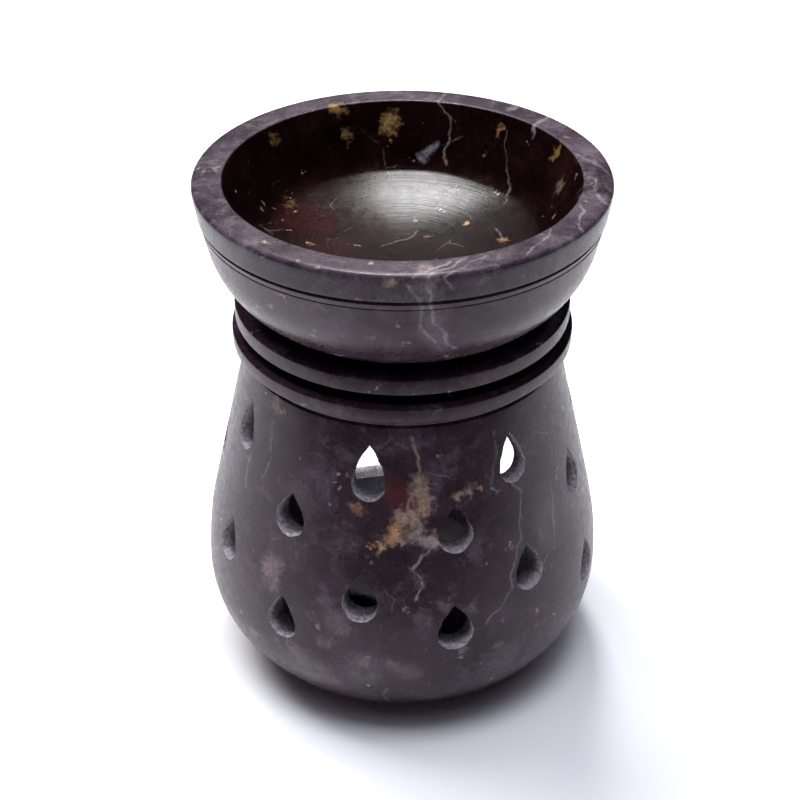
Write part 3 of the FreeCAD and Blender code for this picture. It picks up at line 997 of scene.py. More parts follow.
    def cutter(self, outline: Sequence[Vector], azimuth: float, height: float, depth: float,
               flare: float, seed: float) -> BMesh:
        """The shape that a hole leaves: a rough-walled plug whose mouth opens out where the edge is chipped.

        Args:
            outline: the hole's outline across and up from its own centre.
            azimuth: where it is cut.
            height: height of the outline's centre.
            depth: how far in from the side it goes.
            flare: how far the mouth opens out.
            seed: shifts the roughness, so that no two holes match.

        Returns:
            A closed solid, in metres, whose faces have the filed finish.
        """
        plug = bmesh.new()
        face = plug.faces.new([plug.verts.new((p.x, 0, p.y)) for p in outline])
        middle = sum(outline, Vector((0, 0))) / len(outline)
        deep = [-depth + (depth - self.mouth_depth) * k / self.deep_layers
                for k in range(self.deep_layers + 1)]
        layers = [*deep, *self.mouth_layers]
        rings = layered(plug, face, len(layers))
        turn = Matrix.Rotation(math.radians(azimuth), 3, "Z")
        for inset, ring in zip(layers, rings):
            open_share = min(1.0, max(0.0, 1 + inset / self.lip_depth)) ** self.flare_power
            for vert in ring:
                out = Vector((vert.co.x - middle.x, vert.co.z - middle.y))
                chip = noise.noise(Vector((vert.co.x, vert.co.z, seed)) * self.chips_per_mm)
                rough = noise.noise(Vector((vert.co.x, inset + seed, vert.co.z)) * self.marks_per_mm)
                push = self.file_mark * rough + flare * open_share * (1 + self.chip_share * chip)
                spot = Vector((vert.co.x, vert.co.z)) + out.normalized() * push
                rise = spot.y + height
                reach = self.side_radius(min(max(rise, 0.0), self.body_top))
                level = math.sqrt(max(reach ** 2 - spot.x ** 2, 0.0)) + inset
                if ring is rings[-1]:
                    level = self.belly_radius + inset
                vert.co = turn @ Vector((spot.x, -level, rise)) * MM
        for each in plug.faces:
            each.material_index = Cut.FILED
        bmesh.ops.recalc_face_normals(plug, faces=plug.faces)
        if plug.calc_volume(signed=True) < 0:
            bmesh.ops.reverse_faces(plug, faces=plug.faces)
        return plug

    def build(self, materials: Sequence[Material]) -> Object:
        """Turn the pot, bore it and cut its openings.

        Args:
            materials: the finishes, in the order of Cut.

        Returns:
            The finished pot.
        """
        body = turned(self.outline())
        for face in body.faces:
            centre = face.calc_center_median() / MM
            radius = math.hypot(centre.x, centre.y)
            skin = self.side_radius(max(centre.z, 0.0)) - self.wall / 2
            inside = radius < self.bore_radius + SNUG or (centre.z < self.bore_foot and radius < skin)
            collar = self.ring_base + EDGE < centre.z < self.collar_top - EDGE
            if inside and centre.z > self.floor_height - SNUG:
                face.material_index = Cut.BORED
            # The groove between the rings and the ledge under it are painted near black: painted shade under
            # the dish
            elif collar and radius < self.upper_ring - self.edge_round:
                face.material_index = Cut.GROOVE_SHADE
        pot = finished("turned_pot", body, materials)
        plugs = bmesh.new()
        for number, (azimuth, tip, bottom, width) in enumerate(self.drops):
            self._gather(plugs, self.cutter(
                self.teardrop(tip - bottom, width), azimuth, bottom + width / 2, self.cut_depth,
                self.drop_flare, self.seed_step * number))
        self._gather(plugs, self.cutter(
            self.doorway(), 180, self.sill, self.door_cut_depth, self.door_flare, self.door_seed))
        tool = finished("pot_openings", plugs, materials)
        cut = pot.modifiers.new("openings", "BOOLEAN")
        cut.object = tool
        cut.operation = "DIFFERENCE"
        cut.solver = "MANIFOLD"
        settle(pot)
        bpy.data.objects.remove(tool)
        return pot

    @staticmethod
    def _gather(whole: BMesh, part: BMesh) -> None:
        """Add a part to a bmesh and use the part up.

        Args:
            whole: the bmesh that grows.
            part: what it takes in.
        """
        mesh = bpy.data.meshes.new("gathered")
        part.to_mesh(mesh)
        part.free()
        whole.from_mesh(mesh)
        bpy.data.meshes.remove(mesh)


def settle(piece: Object) -> None:
    """Make a piece's modifiers part of its mesh, and set which of its edges stay crisp.

    Args:
        piece: the piece.
    """
    graph = bpy.context.evaluated_depsgraph_get()
    mesh = bpy.data.meshes.new_from_object(piece.evaluated_get(graph), depsgraph=graph)
    piece.modifiers.clear()
    piece.data = mesh
    mesh.name = piece.name
    mesh.shade_smooth()
    mesh.set_sharp_from_angle(angle=math.radians(SHARP_ANGLE))


class Side(IntEnum):
    """Material slots of the dish: outside, underside, hollow, and rim with its band."""

    OUTSIDE = 0
    UNDER = 1
    HOLLOW = 2
    RIM = 3


@dataclass
class OilDish:
    """The lift-off dish: banded side, hollowed floor and a spigot that drops into the collar."""

    foot_height: float
    bore_radius: float
    height: float = 25.5
    rim_radius: float = 40.3
    rim_round: float = 0.8
    band_height: float = 5.9
    band_taper: float = 0.8
    band_round: float = 0.2
    side_set_in: float = 1.1
    side_lean: float = 12.0
    side_foot_height: float = 13.8
    line_width: float = 0.8
    line_depth: float = 0.5
    second_line_drop: float = 1.5
    second_line_depth: float = 0.08
    seat_width: float = 2.7
    rim_width: float = 5.9
    inner_round: float = 0.5
    floor_height: float = 9.0
    floor_set_in: float = 7.9
    floor_crown: float = 95.0
    corner_round: float = 5.0
    corner_step: float = 0.8
    spigot_height: float = 3.5
    spigot_clearance: float = 0.4
    spigot_chamfer: float = 0.6
    spigot_wall: float = 6.1
    floor_thickness: float = 6.5

    def outline(self) -> list[Corner]:
        """The dish's section.

        Returns:
            Its corners, from the middle of its recess round to the middle of its floor.
        """
        lean = math.radians(self.side_lean)
        line = self.height - self.band_height
        side = self.rim_radius - self.side_set_in
        side_foot = side - (line - self.side_foot_height) * math.tan(lean)
        spigot = self.bore_radius - self.spigot_clearance
        recess = spigot - self.spigot_wall
        recess_top = self.floor_height - self.floor_thickness
        foot = self.bore_radius + self.seat_width
        run = side_foot - foot
        under = (run ** 2 + self.side_foot_height ** 2) / (
            2 * (run * math.cos(lean) - self.side_foot_height * math.sin(lean)))
        centre = (side_foot - under * math.cos(lean), self.side_foot_height + under * math.sin(lean))
        start = math.degrees(math.atan2(-centre[1], foot - centre[0]))
        second = line - self.second_line_drop
        at_second = side - (line - second) * math.tan(lean)
        corners = [
            Corner(0, recess_top),
            Corner(recess, recess_top),
            Corner(recess, -self.spigot_height),
            Corner(spigot - self.spigot_chamfer, -self.spigot_height),
            Corner(spigot, self.spigot_chamfer - self.spigot_height),
            Corner(spigot, 0),
            *arc(centre, under, start, -self.side_lean),
            Corner(at_second, second - self.line_width / 4),
            Corner(at_second - self.second_line_depth, second),
            Corner(at_second, second + self.line_width / 4),
            Corner(side, line - self.line_width / 2, FINE_ROUND),
            Corner(side - self.line_depth, line),
            Corner(self.rim_radius - self.band_taper, line + self.line_width / 2, self.band_round),
            Corner(self.rim_radius, self.height, self.rim_round),
            *self._hollow(),
        ]
        return [Corner(c.radius, c.height + self.foot_height, c.ease) for c in corners]

    def _hollow(self) -> list[Corner]:
        """The dish's inside.

        Returns:
            Corners from its rim down the wall to the middle of the floor.
        """
        inner = self.rim_radius - self.rim_width
        edge = inner - self.floor_set_in
        slope = math.asin(edge / self.floor_crown)
        edge_height = self.floor_height + self.floor_crown * (1 - math.cos(slope))
        centre = (edge - self.corner_round * math.sin(slope),
                  edge_height + self.corner_round * math.cos(slope))
        run, rise = inner - centre[0], self.height - centre[1]
        lean = math.atan2(rise, run) - math.acos(self.corner_round / math.hypot(run, rise))
        return [
            Corner(inner, self.height, self.inner_round),
            *arc(centre, self.corner_round, math.degrees(lean), math.degrees(slope) - 90,
                 self.corner_step),
            *arc((0, self.floor_height + self.floor_crown), self.floor_crown,
                 math.degrees(slope) - 90, -90)[1:],
        ]

    def build(self, materials: Sequence[Material]) -> Object:
        """Turn the dish.

        Args:
            materials: the finishes, in the order of Side.

        Returns:
            The finished dish.
        """
        body = turned(self.outline())
        brim = self.rim_radius - self.rim_width - EDGE
        for face in body.faces:
            centre = face.calc_center_median() / MM - UP * self.foot_height
            radius = math.hypot(centre.x, centre.y)
            above = centre.z > self.floor_height - self.inner_round
            if not above and radius < self.bore_radius:
                face.material_index = Side.UNDER
            elif above and face.normal.z > 0 and radius < brim:
                face.material_index = Side.HOLLOW
            elif centre.z > self.height - self.band_height:
                face.material_index = Side.RIM
        return finished("turned_dish", body, materials)


@dataclass
class TeaLight:
    """A standard tea light: drawn cup, poured wax and a braided wick."""

    floor_height: float
    set_forward: float = 7.0
    cup_radius: float = 19.0
    cup_height: float = 15.5
    sheet: float = 0.4
    lip: float = 0.7
    lip_step: float = 0.2
    foot_round: float = 1.2
    press: float = 0.25
    press_inside: float = 0.15
    pressed_share: float = 0.55
    ring_share: float = 0.62
    wax_depth: float = 12.0
    wax_dip: float = 0.6
    wax_gap: float = 0.1
    wax_lift: float = 0.2
    wax_chamfer: float = 1.0
    wick_creep: float = 0.4
    wick_radius: float = 0.8
    wick_stand: float = 5.0
    wick_sunk: float = 2.0
    wick_strands: int = 3
    wick_turns: float = 2.6
    wick_sides: int = 24
    wick_rings: int = 45
    wick_bend: float = 0.35
    straight_share: float = 0.4
    lobe_depth: float = 0.1
    frayed_share: float = 0.07
    fray_taper: float = 0.25
    crisp_angle: float = 60
    steps: int = 128

    # The wax's surface in from the cup and out from the wick: how far, how high above the pool, rounding
    from_cup: tuple[tuple[float, float, float], ...] = ((0.5, 0.25, 0.3), (1.5, 0.1, 0.8))
    from_wick: tuple[tuple[float, float, float], ...] = ((2.2, -0.1, 0.8), (0.5, 0.25, 0.3))

    def _moved(self, shape: BMesh) -> BMesh:
        """A shape moved from the axis to where the tea light stands."""
        bmesh.ops.translate(shape, verts=shape.verts, vec=place(0, self.set_forward, self.floor_height) * MM)
        return shape

    def cup(self, material: Material) -> Object:
        """The drawn cup, with its lip rolled over and its foot pressed up in the middle.

        Args:
            material: its finish.

        Returns:
            The finished cup.
        """
        outer = self.cup_radius - self.lip
        inner = outer - self.sheet
        bead = (self.lip + self.sheet) / 2
        pressed, ring = outer * self.pressed_share, outer * self.ring_share
        outline = [
            Corner(0, self.press), Corner(pressed, self.press), Corner(ring, 0),
            Corner(outer, 0, self.foot_round),
            Corner(outer, self.cup_height - 2 * bead),
            *arc((self.cup_radius - bead, self.cup_height - bead), bead, -90, 180, self.lip_step),
            Corner(inner, self.cup_height - 2 * bead),
            Corner(inner, self.sheet, self.foot_round - self.sheet),
            Corner(ring, self.sheet), Corner(pressed, self.sheet + self.press_inside),
            Corner(0, self.sheet + self.press_inside),
        ]
        return finished("drawn_cup", self._moved(turned(outline, self.steps)), [material])

    def wax(self, material: Material) -> Object:
        """The wax, drawn up a little at the cup's wall and at the wick.

        Args:
            material: its finish.

        Returns:
            The finished wax.
        """
        edge = self.cup_radius - self.lip - self.sheet - self.wax_gap
        foot = self.sheet + self.wax_lift
        top = self.sheet + self.wax_depth
        pool = top - self.wax_dip
        outline = [
            Corner(0, foot), Corner(edge - self.wax_chamfer, foot),
            Corner(edge, self.sheet + self.foot_round), Corner(edge, top),
            *(Corner(edge - away, pool + rise, ease) for away, rise, ease in self.from_cup),
            *(Corner(self.wick_radius + away, pool + rise, ease) for away, rise, ease in self.from_wick),
            Corner(0, pool + self.wick_creep),
        ]
        return finished("poured_wax", self._moved(turned(outline, self.steps)), [material])

    def wick(self, material: Material) -> Object:
        """The wick: three strands that wind round each other, with a frayed, slightly bent tip.

        Args:
            material: its finish.

        Returns:
            The finished wick.
        """
        low = self.sheet + self.wax_depth - self.wick_sunk
        high = self.sheet + self.wax_depth + self.wick_stand
        cord = bmesh.new()
        bmesh.ops.create_circle(cord, cap_ends=True, segments=self.wick_sides, radius=1.0)
        rings = layered(cord, cord.faces[:][0], self.wick_rings)
        for k, ring in enumerate(rings):
            share = k / (len(rings) - 1)
            bend = self.wick_bend * max(0.0, share - self.straight_share) ** 2
            fray = 1 - self.fray_taper * max(0.0, share - 1 + self.frayed_share) / self.frayed_share
            for vert in ring:
                angle = math.atan2(vert.co.y, vert.co.x)
                lobe = math.cos(self.wick_strands * angle + math.tau * self.wick_turns * share)
                radius = self.wick_radius * (1 - self.lobe_depth + self.lobe_depth * lobe) * fray
                vert.co = Vector((radius * math.cos(angle) + bend, radius * math.sin(angle),
                                  low + (high - low) * share)) * MM
        bmesh.ops.recalc_face_normals(cord, faces=cord.faces)
        return finished("braided_wick", self._moved(cord), [material], self.crisp_angle)


@dataclass(frozen=True)
class Lamp:
    """A soft box aimed at the burner: where it stands, how large and bright it is, and who sees it.

    Its azimuth and elevation are in degrees, and its radiance is 1 for white.
    """

    name: str
    azimuth: float
    elevation: float
    away: float
    size: tuple[float, float]
    radiance: float
    mirrored: bool = False
    colour: str = "FFFFFF"

    def stand(self, height: float) -> Object:
        """Set up the lamp.

        Args:
            height: height of what it is aimed at, in millimetres.

        Returns:
            The lamp.
        """
        light = bpy.data.lights.new(self.name, "AREA")
        light.shape = "RECTANGLE"
        light.size, light.size_y = self.size[0] * MM, self.size[1] * MM
        light.energy = self.radiance * light.size * light.size_y * math.pi
        light.color = linear(self.colour)[:3]
        lamp = bpy.data.objects.new(self.name, light)
        rise = math.radians(self.elevation)
        back = place(self.azimuth, self.away * math.cos(rise), self.away * math.sin(rise))
        lamp.location = (back + UP * height) * MM
        lamp.rotation_euler = back.to_track_quat("Z", "Y").to_euler()
        lamp.visible_glossy = self.mirrored
        bpy.context.scene.collection.objects.link(lamp)
        return lamp


@dataclass
class Studio:
    """A white table under a tall soft lamp behind, with a dim card below it, and lamps left and above."""

    table_size: float = 6000.0
    table_drop: float = 0.02
    table_white: float = 0.82
    shown_white: float = 1.6
    mirrored_white: float = 1.3
    mirrored_dark: float = 0.2
    mirrored_heading: tuple[float, float, float] = (-0.25, 1.0, 0.0)
    mirrored_from: float = -170.0
    mirrored_to: float = -80.0
    fade_from: float = 250.0
    fade_to: float = 600.0
    room_above: float = 0.78
    room_dim: float = 0.01
    room_lit: float = 1.2
    room_tint: str = "E9EDFF"
    aim_height: float = 60.0
    lamps: tuple[Lamp, ...] = (
        Lamp("soft_box_behind", -165.5, 56.7, 700, (120, 275), 16.5, True),
        Lamp("dim_card_behind", -168, 30, 700, (150, 300), 0.4, True),
        Lamp("soft_box_left", -115, 55, 900, (450, 450), 6.5),
        Lamp("soft_box_above", 5, 80, 1000, (500, 400), 4.5, colour="F2F4FF"),
    )

    def build(self) -> None:
        """Set up the room, the lamps and the plain pale table, which keeps the object's shadow."""
        top = bmesh.new()
        bmesh.ops.create_grid(top, x_segments=1, y_segments=1, size=self.table_size / 2 * MM)
        bmesh.ops.translate(top, verts=top.verts, vec=-UP * self.table_drop * MM)
        finished("white_table", top, [self._table_finish()])
        self._room()
        for lamp in self.lamps:
            lamp.stand(self.aim_height)

    @staticmethod
    def _rays(tree: NodeTree) -> tuple[Node, Node]:
        """Tell the rays apart by where they come from.

        Args:
            tree: the nodes of the table or the room.

        Returns:
            The node with the kinds of ray, and one that is 1 for what the camera sees.
        """
        rays = add_node(tree, "LightPath")
        seen = [rays.outputs["Is Camera Ray"], rays.outputs["Is Transmission Ray"]]
        return rays, add_node(tree, "Math", seen, {"operation": "ADD", "use_clamp": True})

    def _table_finish(self) -> Material:
        """Matt white card that the stone mirrors dark in front, and that fades into the room far off.

        Returns:
            The material.
        """
        material = bpy.data.materials.new("matt_white_card")
        material.use_nodes = True
        tree = material.node_tree
        tree.nodes.clear()
        rays, seen = self._rays(tree)
        shown = add_node(tree, "MapRange", [seen, 0, 1, self.table_white, self.shown_white])
        coords = add_node(tree, "TexCoord").outputs["Object"]
        away = add_node(tree, "VectorMath", [coords, self.mirrored_heading], "DOT_PRODUCT")
        mirrored = add_node(tree, "MapRange", [
            away.outputs["Value"], self.mirrored_from * MM, self.mirrored_to * MM, self.mirrored_dark,
            self.mirrored_white], SMOOTH)
        level = add_node(tree, "Mix", {0: rays.outputs["Is Glossy Ray"], 2: shown, 3: mirrored})
        card = add_node(tree, "BsdfDiffuse", [level])
        far = add_node(tree, "VectorMath", [coords], "LENGTH")
        faded = add_node(tree, "MapRange", [
            far.outputs["Value"], self.fade_from * MM, self.fade_to * MM], SMOOTH)
        lost = add_node(tree, "Math", [faded, seen], "MULTIPLY")
        surface = add_node(tree, "MixShader", [lost, card, add_node(tree, "Emission")])
        add_node(tree, "OutputMaterial", [surface])
        return material

    def _room(self) -> None:
        """A dim room for the lamps to light, white wherever the camera looks past the table."""
        world = bpy.data.worlds.new("white_room")
        world.use_nodes = True
        tree = world.node_tree
        tree.nodes.clear()
        rays, seen = self._rays(tree)
        parts = add_node(tree, "SeparateXYZ", [add_node(tree, "TexCoord").outputs["Generated"]])
        overhead = add_node(tree, "MapRange", [
            parts.outputs[2], self.room_above, 1, self.room_dim, self.room_lit])
        fill_light = add_node(tree, "Math", [rays.outputs["Is Diffuse Ray"], overhead], "MULTIPLY")
        level = add_node(tree, "Math", [seen, fill_light], "MAXIMUM")
        tint = add_node(tree, "Mix", {0: seen, 6: linear(self.room_tint), 7: linear("FFFFFF")}, LAID_OVER)
        glow = add_node(tree, "Background", [tint.outputs["Result"], level])
        add_node(tree, "OutputWorld", [glow])
        bpy.context.scene.world = world


@dataclass
class PhotoCamera:
    """The camera as the photograph was taken: from above, a little to the right of the front."""

    azimuth: float = 10.9
    elevation: float = 33.66
    distance: float = 341.3
    aim_height: float = 57.8
    aim_left: float = 0.46
    lens: float = 73.9
    sensor: float = 36.0
    nearest: float = 10.0
    farthest: float = 50000.0

    def stand(self) -> None:
        """Set up the camera and make it the scene's own."""
        rise, turn = math.radians(self.elevation), math.radians(self.azimuth)
        back = place(self.azimuth, self.distance * math.cos(rise), self.distance * math.sin(rise))
        right = Vector((math.cos(turn), math.sin(turn), 0))
        data = bpy.data.cameras.new("photo_camera")
        data.lens, data.sensor_width = self.lens, self.sensor
        data.clip_start, data.clip_end = self.nearest * MM, self.farthest * MM
        camera = bpy.data.objects.new("photo_camera", data)
        camera.location = (UP * self.aim_height - right * self.aim_left + back) * MM
        camera.rotation_euler = back.to_track_quat("Z", "Y").to_euler()
        bpy.context.scene.collection.objects.link(camera)
        bpy.context.scene.camera = camera


# Patches on the pot: azimuth, height, reach, strength, and stretch if any
POT_PATCHES = {
    Mineral.RUST: [(8.6, 60, 3.4, 0.85), (13.5, 57.5, 3.6, 0.8), (16.8, 55.6, 1.8, 0.7),
        (17.2, 58.7, 0.9, 0.9, 1.4)],
    Mineral.ROSE: [(10.5, 51, 2.4, 0.8), (15.5, 51.5, 2.6, 1), (19.5, 49.8, 2.4, 1), (-13, 29.4, 1, 0.8),
        (-30, 37, 3.4, 0.7, 1.6), (-28.5, 34, 2.2, 0.5, 1.5), (0.4, 21.5, 1.8, 0.6),
        (38.3, 23.7, 2.3, 0.5, 0.7), (-5, 29.5, 2.4, 0.35, 0.8), (-20, 20, 2.4, 0.45),
        (-10.5, 15.5, 2.6, 0.35, 0.7), (-10.2, 26.5, 2.6, 0.4, 0.8), (-35.2, 19.3, 2.2, 0.5, 0.8),
        (12, 20, 4, 0.25, 0.8), (8.5, 22, 2, 0.4, 0.7), (170, 60, 3, 0.5)],
    Mineral.TAN: [(16, 61, 2.2, 0.75, 1.8), (17, 57, 2.2, 0.8, 1.3), (12, 55.3, 2.7, 0.95),
        (22, 49, 1.7, 1), (32, 58.4, 1.9, 0.85, 1.2), (28, 58.2, 1.6, 0.8), (-37.2, 70.8, 2.2, 0.4),
        (27.1, 25, 1.5, 0.5)],
    Mineral.OCHRE: [(8.3, 52.2, 2.1, 1, 1.8), (5.6, 48.6, 0.9, 0.9, 1.6), (2.8, 47.9, 1, 0.7),
        (-2.5, 55.7, 1.5, 0.5, 1.2), (44.9, 43.6, 1, 1), (-120, 60, 1.3, 0.5, 1.5)],
    Mineral.HAZE: [(-8, 31.6, 3.6, 0.55), (-17, 17, 6, 0.75), (0.4, 20.5, 4.5, 0.8), (16, 33.4, 2.4, 0.6),
        (-22.5, 54.5, 4.5, 0.3), (-4.8, 48.2, 4, 0.25), (60, 46, 5, 0.35, 1.8), (-12, 35, 2.2, 0.7),
        (39.3, 19, 6, 0.6), (22.5, 36, 1.8, 0.8, 1.4), (30, 33.5, 1.8, 0.7, 1.4),
        (15, 41.5, 2.2, 0.6, 0.8), (-6.5, 66.5, 3, 0.45, 0.6), (28.5, 66.5, 2.6, 0.4, 0.8)],
    Mineral.TALC: [(2.1, 45.1, 1.1, 0.4), (36.2, 43.3, 0.6, 0.9), (40.4, 50.9, 0.6, 0.7),
        (40.8, 57, 0.7, 0.7), (23.6, 67.5, 0.6, 0.7), (-12.4, 56.3, 0.5, 0.7), (-16.3, 40.7, 0.6, 0.9),
        (-42.2, 22, 0.7, 0.8), (1.5, 15.8, 0.8, 1, 0.6)],
    Mineral.PIT: [(89, 45.3, 0.7, 1), (87.5, 41.6, 0.7, 1), (86.5, 38.9, 0.7, 1), (80, 36, 0.5, 1)],
}

# Veins on the pot: mineral, width, strength, and the places that the vein runs through
POT_VEINS = (
    (Mineral.TALC, 0.4, 0.75, ((22.2, 49.5), (16.6, 46.6), (13, 43.6), (17.3, 40.8), (14.6, 37.7))),
    (Mineral.TAN, 0.55, 0.7, ((13.8, 69.6), (15.7, 65.4), (15.1, 63.6), (14.1, 59.3), (10.3, 55),
     (7.6, 50.5), (4.9, 46.6))),
    (Mineral.TAN, 0.5, 0.7, ((14.1, 59.3), (15.8, 51.1), (22.2, 49.5))),
    (Mineral.TALC, 0.35, 0.5, ((46.2, 57.3), (50.5, 54.7), (50.3, 50.4), (48.3, 45.1), (45.6, 41.5),
     (43.2, 35.5), (34.6, 29.6))),
    (Mineral.TALC, 0.4, 0.4, ((64.5, 52), (63.5, 44.6), (61, 39.1), (55, 37))),
    (Mineral.TALC, 0.5, 0.25, ((-38.5, 67), (-37.5, 60.6), (-39, 55))),
    (Mineral.TALC, 0.7, 0.3, ((-47.5, 56.5), (-46.5, 50))),
    (Mineral.TALC, 0.5, 0.45, ((6.5, 14.6), (6.5, 9.5))),
    (Mineral.TALC, 0.5, 0.25, ((44, 68.5), (42, 62), (40, 58))),
    (Mineral.TALC, 0.45, 0.5, ((120, 66), (114, 52), (119, 38), (112, 20))),
    (Mineral.TALC, 0.4, 0.45, ((-96, 64), (-92, 48), (-99, 30), (-94, 14))),
    (Mineral.TALC, 0.5, 0.4, ((-150, 52), (-138, 44), (-142, 20))),
)

# Patches in and on the dish: azimuth, radius, height, reach, strength, and stretch if any
DISH_PATCHES = {
    Mineral.RUST: [(-100, 20, 95, 8, 0.24), (-70, 15, 94.5, 7, 0.2), (60, 18, 94.5, 8, 0.18)],
    Mineral.ROSE: [(163.8, 22.9, 95.6, 1.2, 0.6), (-81.5, 9.1, 93.6, 0.9, 1), (-52, 22.5, 95.6, 0.5, 0.7),
        (-81.3, 36.2, 109.7, 0.9, 0.9), (-88, 37.2, 109.7, 0.6, 0.8), (17, 38, 109.7, 3.2, 0.55)],
    Mineral.TAN: [(113.2, 31.8, 103.6, 1.2, 0.3, 2), (-98, 29.5, 98.5, 0.7, 0.9),
        (-76, 18, 94.8, 0.5, 0.8), (-31.4, 37.4, 109.7, 1, 0.9), (8.1, 40.3, 108.6, 1.5, 0.6),
        (-26.4, 37.8, 97.2, 0.8, 0.8), (3.3, 37.1, 95, 0.9, 0.6)],
    Mineral.OCHRE: [(153.5, 32.9, 106.5, 1.1, 0.5, 1.8), (135.4, 16, 94.3, 1.3, 1),
        (146.2, 7.8, 93.5, 0.6, 0.8), (-111.4, 8, 93.5, 0.8, 0.8), (100.5, 19.7, 95, 1.2, 0.8),
        (-93.4, 28.9, 97.8, 1, 0.7), (-112, 27.5, 97, 0.8, 0.9), (-104.5, 24.5, 96, 0.8, 0.9),
        (-88, 26, 96.5, 0.7, 0.8), (86, 22, 95.2, 0.8, 0.9), (-95, 24.5, 96.2, 0.5, 0.9),
        (-84, 22, 95.4, 0.45, 0.8), (-64, 20, 95.1, 0.45, 0.8), (-40, 24, 95.9, 0.5, 0.8),
        (52, 25.5, 96.3, 0.6, 0.9), (-160, 38.8, 101, 2.4, 0.5, 1.4)],
    Mineral.BRASS: [(-146, 34.6, 109, 2.4, 1, 0.7), (-165.3, 32.3, 105, 2, 0.95, 2),
        (-146.9, 31.9, 103.9, 1.6, 0.6, 1.4), (-118.1, 33.3, 107.1, 1.3, 0.45, 1.2),
        (125.7, 33.6, 107.5, 1.5, 0.6, 2.6), (-108.4, 25.9, 96.3, 1.6, 0.5), (-101, 27.5, 97.2, 0.6, 0.9)],
    Mineral.HAZE: [(16.5, 39.6, 105.5, 3.6, 0.7, 1.5), (19, 38.4, 99, 3.4, 0.7, 2),
        (21.5, 36.5, 94, 2.6, 0.6, 1.8), (84, 38, 109.7, 3.8, 0.6), (112, 38.2, 109.7, 3.8, 0.6),
        (55, 38, 109.7, 3.8, 0.5), (138, 38.2, 109.7, 3.4, 0.5)],
    Mineral.TALC: [(105.8, 33.5, 107.7, 0.8, 0.6)],
}

# Veins in and on the dish: mineral, width, strength, and the places that the vein runs through
DISH_VEINS = (
    (Mineral.ROSE, 0.35, 0.7, ((178, 39, 109.7), (174.8, 33.4, 107.4), (172.5, 31.4, 102.8),
     (171.9, 29.4, 98.6))),
    (Mineral.ROSE, 0.3, 0.35, ((150, 32.6, 105.7), (145.8, 30.2, 100.1), (135.5, 25.2, 96.1))),
    (Mineral.TALC, 1, 0.5, ((154.6, 39.5, 109.7), (155.5, 36, 109.7))),
    (Mineral.TALC, 0.6, 0.5, ((141.2, 39.5, 109.7), (139, 34.4, 109.3), (137.7, 33.6, 107.5))),
    (Mineral.SLATE, 1.3, 1.5, ((-175.4, 29.3, 98.5), (-179.8, 30.1, 100), (176.9, 30.9, 101.6))),
    (Mineral.ROSE, 0.4, 0.5, ((166.5, 7.6, 93.4), (-92.5, 4.1, 93.3))),
    (Mineral.ROSE, 0.4, 0.5, ((115.4, 19.5, 94.9), (100.5, 19.7, 95))),
    (Mineral.TALC, 0.5, 0.8, ((14, 39.8, 109.7), (24, 35, 109.7))),
    (Mineral.TALC, 0.45, 0.7, ((17.5, 39.9, 109.7), (29, 35, 109.7))),
    (Mineral.TALC, 0.35, 0.5, ((22, 39.9, 109.7), (34, 35.4, 109.7))),
    (Mineral.TALC, 0.6, 0.6, ((16.4, 39.9, 106.9), (17.9, 38.9, 102.2), (20.9, 37.8, 97.4),
     (25.5, 35.1, 91.2))),
    (Mineral.TALC, 0.4, 0.5, ((12, 40, 107.5), (14.7, 39.6, 104.8), (16, 38.1, 98.8), (20, 36.4, 94))),
    (Mineral.TALC, 0.4, 0.5, ((44, 39.5, 109.7), (60, 35, 109.7))),
    (Mineral.TALC, 0.4, 0.5, ((64, 39.3, 109.7), (78, 35.5, 109.7))),
    (Mineral.TALC, 0.4, 0.45, ((82, 39.3, 109.7), (96, 35.5, 109.7))),
    (Mineral.TALC, 0.4, 0.4, ((100, 39.3, 109.7), (114, 35.5, 109.7))),
    (Mineral.TALC, 0.5, 0.45, ((-140, 40, 107), (-146, 38.5, 100), (-143, 34, 91))),
)


def marks(patches: dict[Mineral, Sequence[tuple[float, ...]]], veins: Sequence[tuple],
          spot: Callable[..., Vector], places: int) -> tuple[Patch | Vein, ...]:
    """Set out a stone's marks from its tables, where they show in the photograph or are guessed behind.

    Args:
        patches: rows of patches for each mineral.
        veins: rows of veins.
        spot: makes the first numbers of a row a point.
        places: how many numbers it takes.

    Returns:
        The marks.
    """
    balls = [Patch(spot(*row[:places]), mineral, *row[places:])
             for mineral, rows in patches.items() for row in rows]
    return (*balls, *(Vein(tuple(spot(*point) for point in course), mineral, width, strength)
                      for mineral, width, strength, course in veins))


def dress(piece: Object, body: str, node: str) -> None:
    """Tie a new piece to the rest of the model, and report it.

    Args:
        piece: the finished piece.
        body: the body that it rides on.
        node: the node that it stands for.
    """
    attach(piece, body)
    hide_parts(node)
    triangles = sum(len(face.vertices) - 2 for face in piece.data.polygons)
    log.info("%s rides on %s in place of %s: %d triangles", piece.name, body, node, triangles)


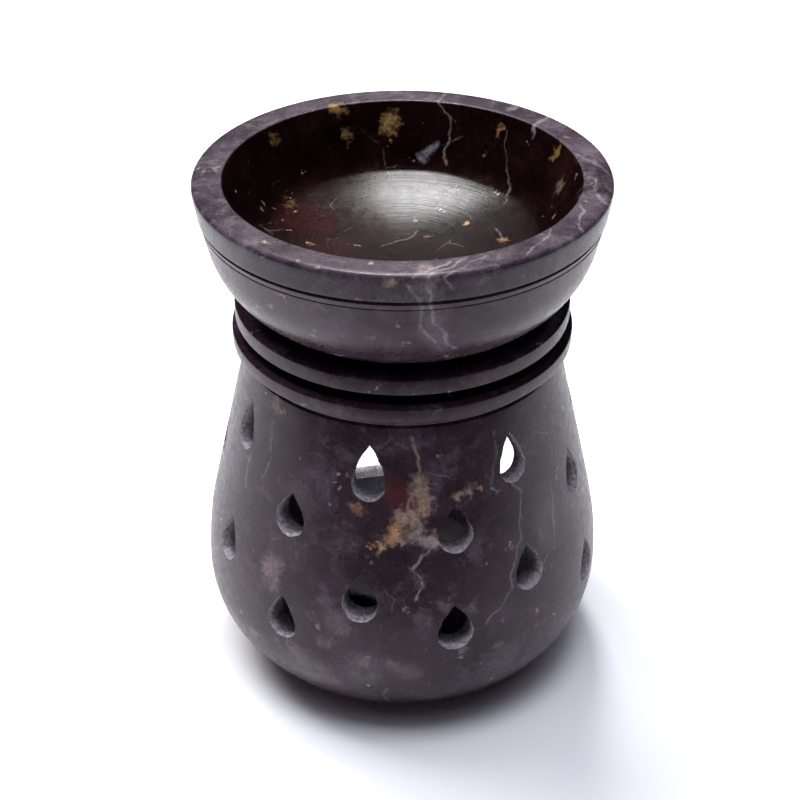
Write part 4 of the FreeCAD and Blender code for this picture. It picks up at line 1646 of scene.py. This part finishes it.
def main() -> None:
    """Build the pot, the dish, the tea light, the table and the lamps, and set the camera."""
    logging.basicConfig(level=logging.INFO, format="%(message)s")
    PhotoCamera().stand()
    Studio().build()
    bpy.context.scene.view_settings.view_transform = "Standard"

    pot = SoapstonePot()
    dish = OilDish(foot_height=pot.collar_top, bore_radius=pot.bore_radius)
    pot_stone = PolishedSoapstone(
        "waxed_soapstone_pot", dark="2B1623", middle="3A2230", light="4C3144", cloud="8A7586",
        cloud_share=0.5, roughness=0.3, ior=1.45, seed=(11.0, 4.0, 7.0), speckle=0.16,
        marks=marks(POT_PATCHES, POT_VEINS, pot.spot, 2))
    # A near black copy of the pot's stone: painted shade in the groove between the rings, under the dish
    groove_shade = replace(
        pot_stone, name="groove_painted_shade", dark="08060A", middle="0E0A10", light="161218",
        cloud="3A343A", cloud_share=0.2, roughness=0.5, marks=())
    dish_stone = replace(
        pot_stone, name="waxed_soapstone_dish", dark="3B2834", middle="4E3A46", light="625058",
        roughness=0.27, pore_depth=0.012, seed=(41.0, 17.0, 3.0),
        marks=marks(DISH_PATCHES, DISH_VEINS, place, 3))
    rim_stone = replace(
        dish_stone, name="handled_soapstone_rim", dark="30242B", middle="4D3E4A", light="6A5A65",
        cloud="95878D", cloud_share=0.7, speckle=0.3)
    oiled_stone = replace(
        dish_stone, name="oiled_soapstone_hollow", dark="0E0506", middle="1A0A0B", light="2C1415",
        cloud="5A3C3E", cloud_share=0.16, roughness=0.21, ior=1.46, line_depth=0.03, speckle=0.5,
        pore_depth=0.003, line_breaks=0.5, wear=0.03)
    filed = RawSoapstone("filed_soapstone", "857B83", "E6DCE2", 0.7, 0.22, pot.mouths())
    bored = RawSoapstone("bored_soapstone", "5E5C6C", "888696", 1.6, 0.1)
    unwaxed = RawSoapstone("unwaxed_soapstone", "4A434A", "777078", 1.2, 0.08)

    turned_pot = pot.build([each.material() for each in (pot_stone, filed, bored, groove_shade)])
    dress(turned_pot, "base", "base_pot")
    turned_dish = dish.build([each.material() for each in (dish_stone, unwaxed, oiled_stone, rim_stone)])
    dress(turned_dish, "bowl", "oil_bowl")
    light = TeaLight(pot.floor_height)
    cup = light.cup(DrawnSheet("drawn_aluminium", "B8BABE", 0.3).material())
    dress(cup, "tea_light", "tealight_cup")
    dress(light.wax(ParaffinWax().material()), "tea_light", "tealight_wax")
    dress(light.wick(BraidedCotton().material()), "tea_light", "tealight_wick")
    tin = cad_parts["wick_sustainer"]
    tin.data.materials.clear()
    tin.data.materials.append(DrawnSheet("stamped_tinplate", "B9BABD", 0.4).material())
    log.info("wick_sustainer keeps its own shape, in tinplate")


if __name__ == "__main__":
    main()
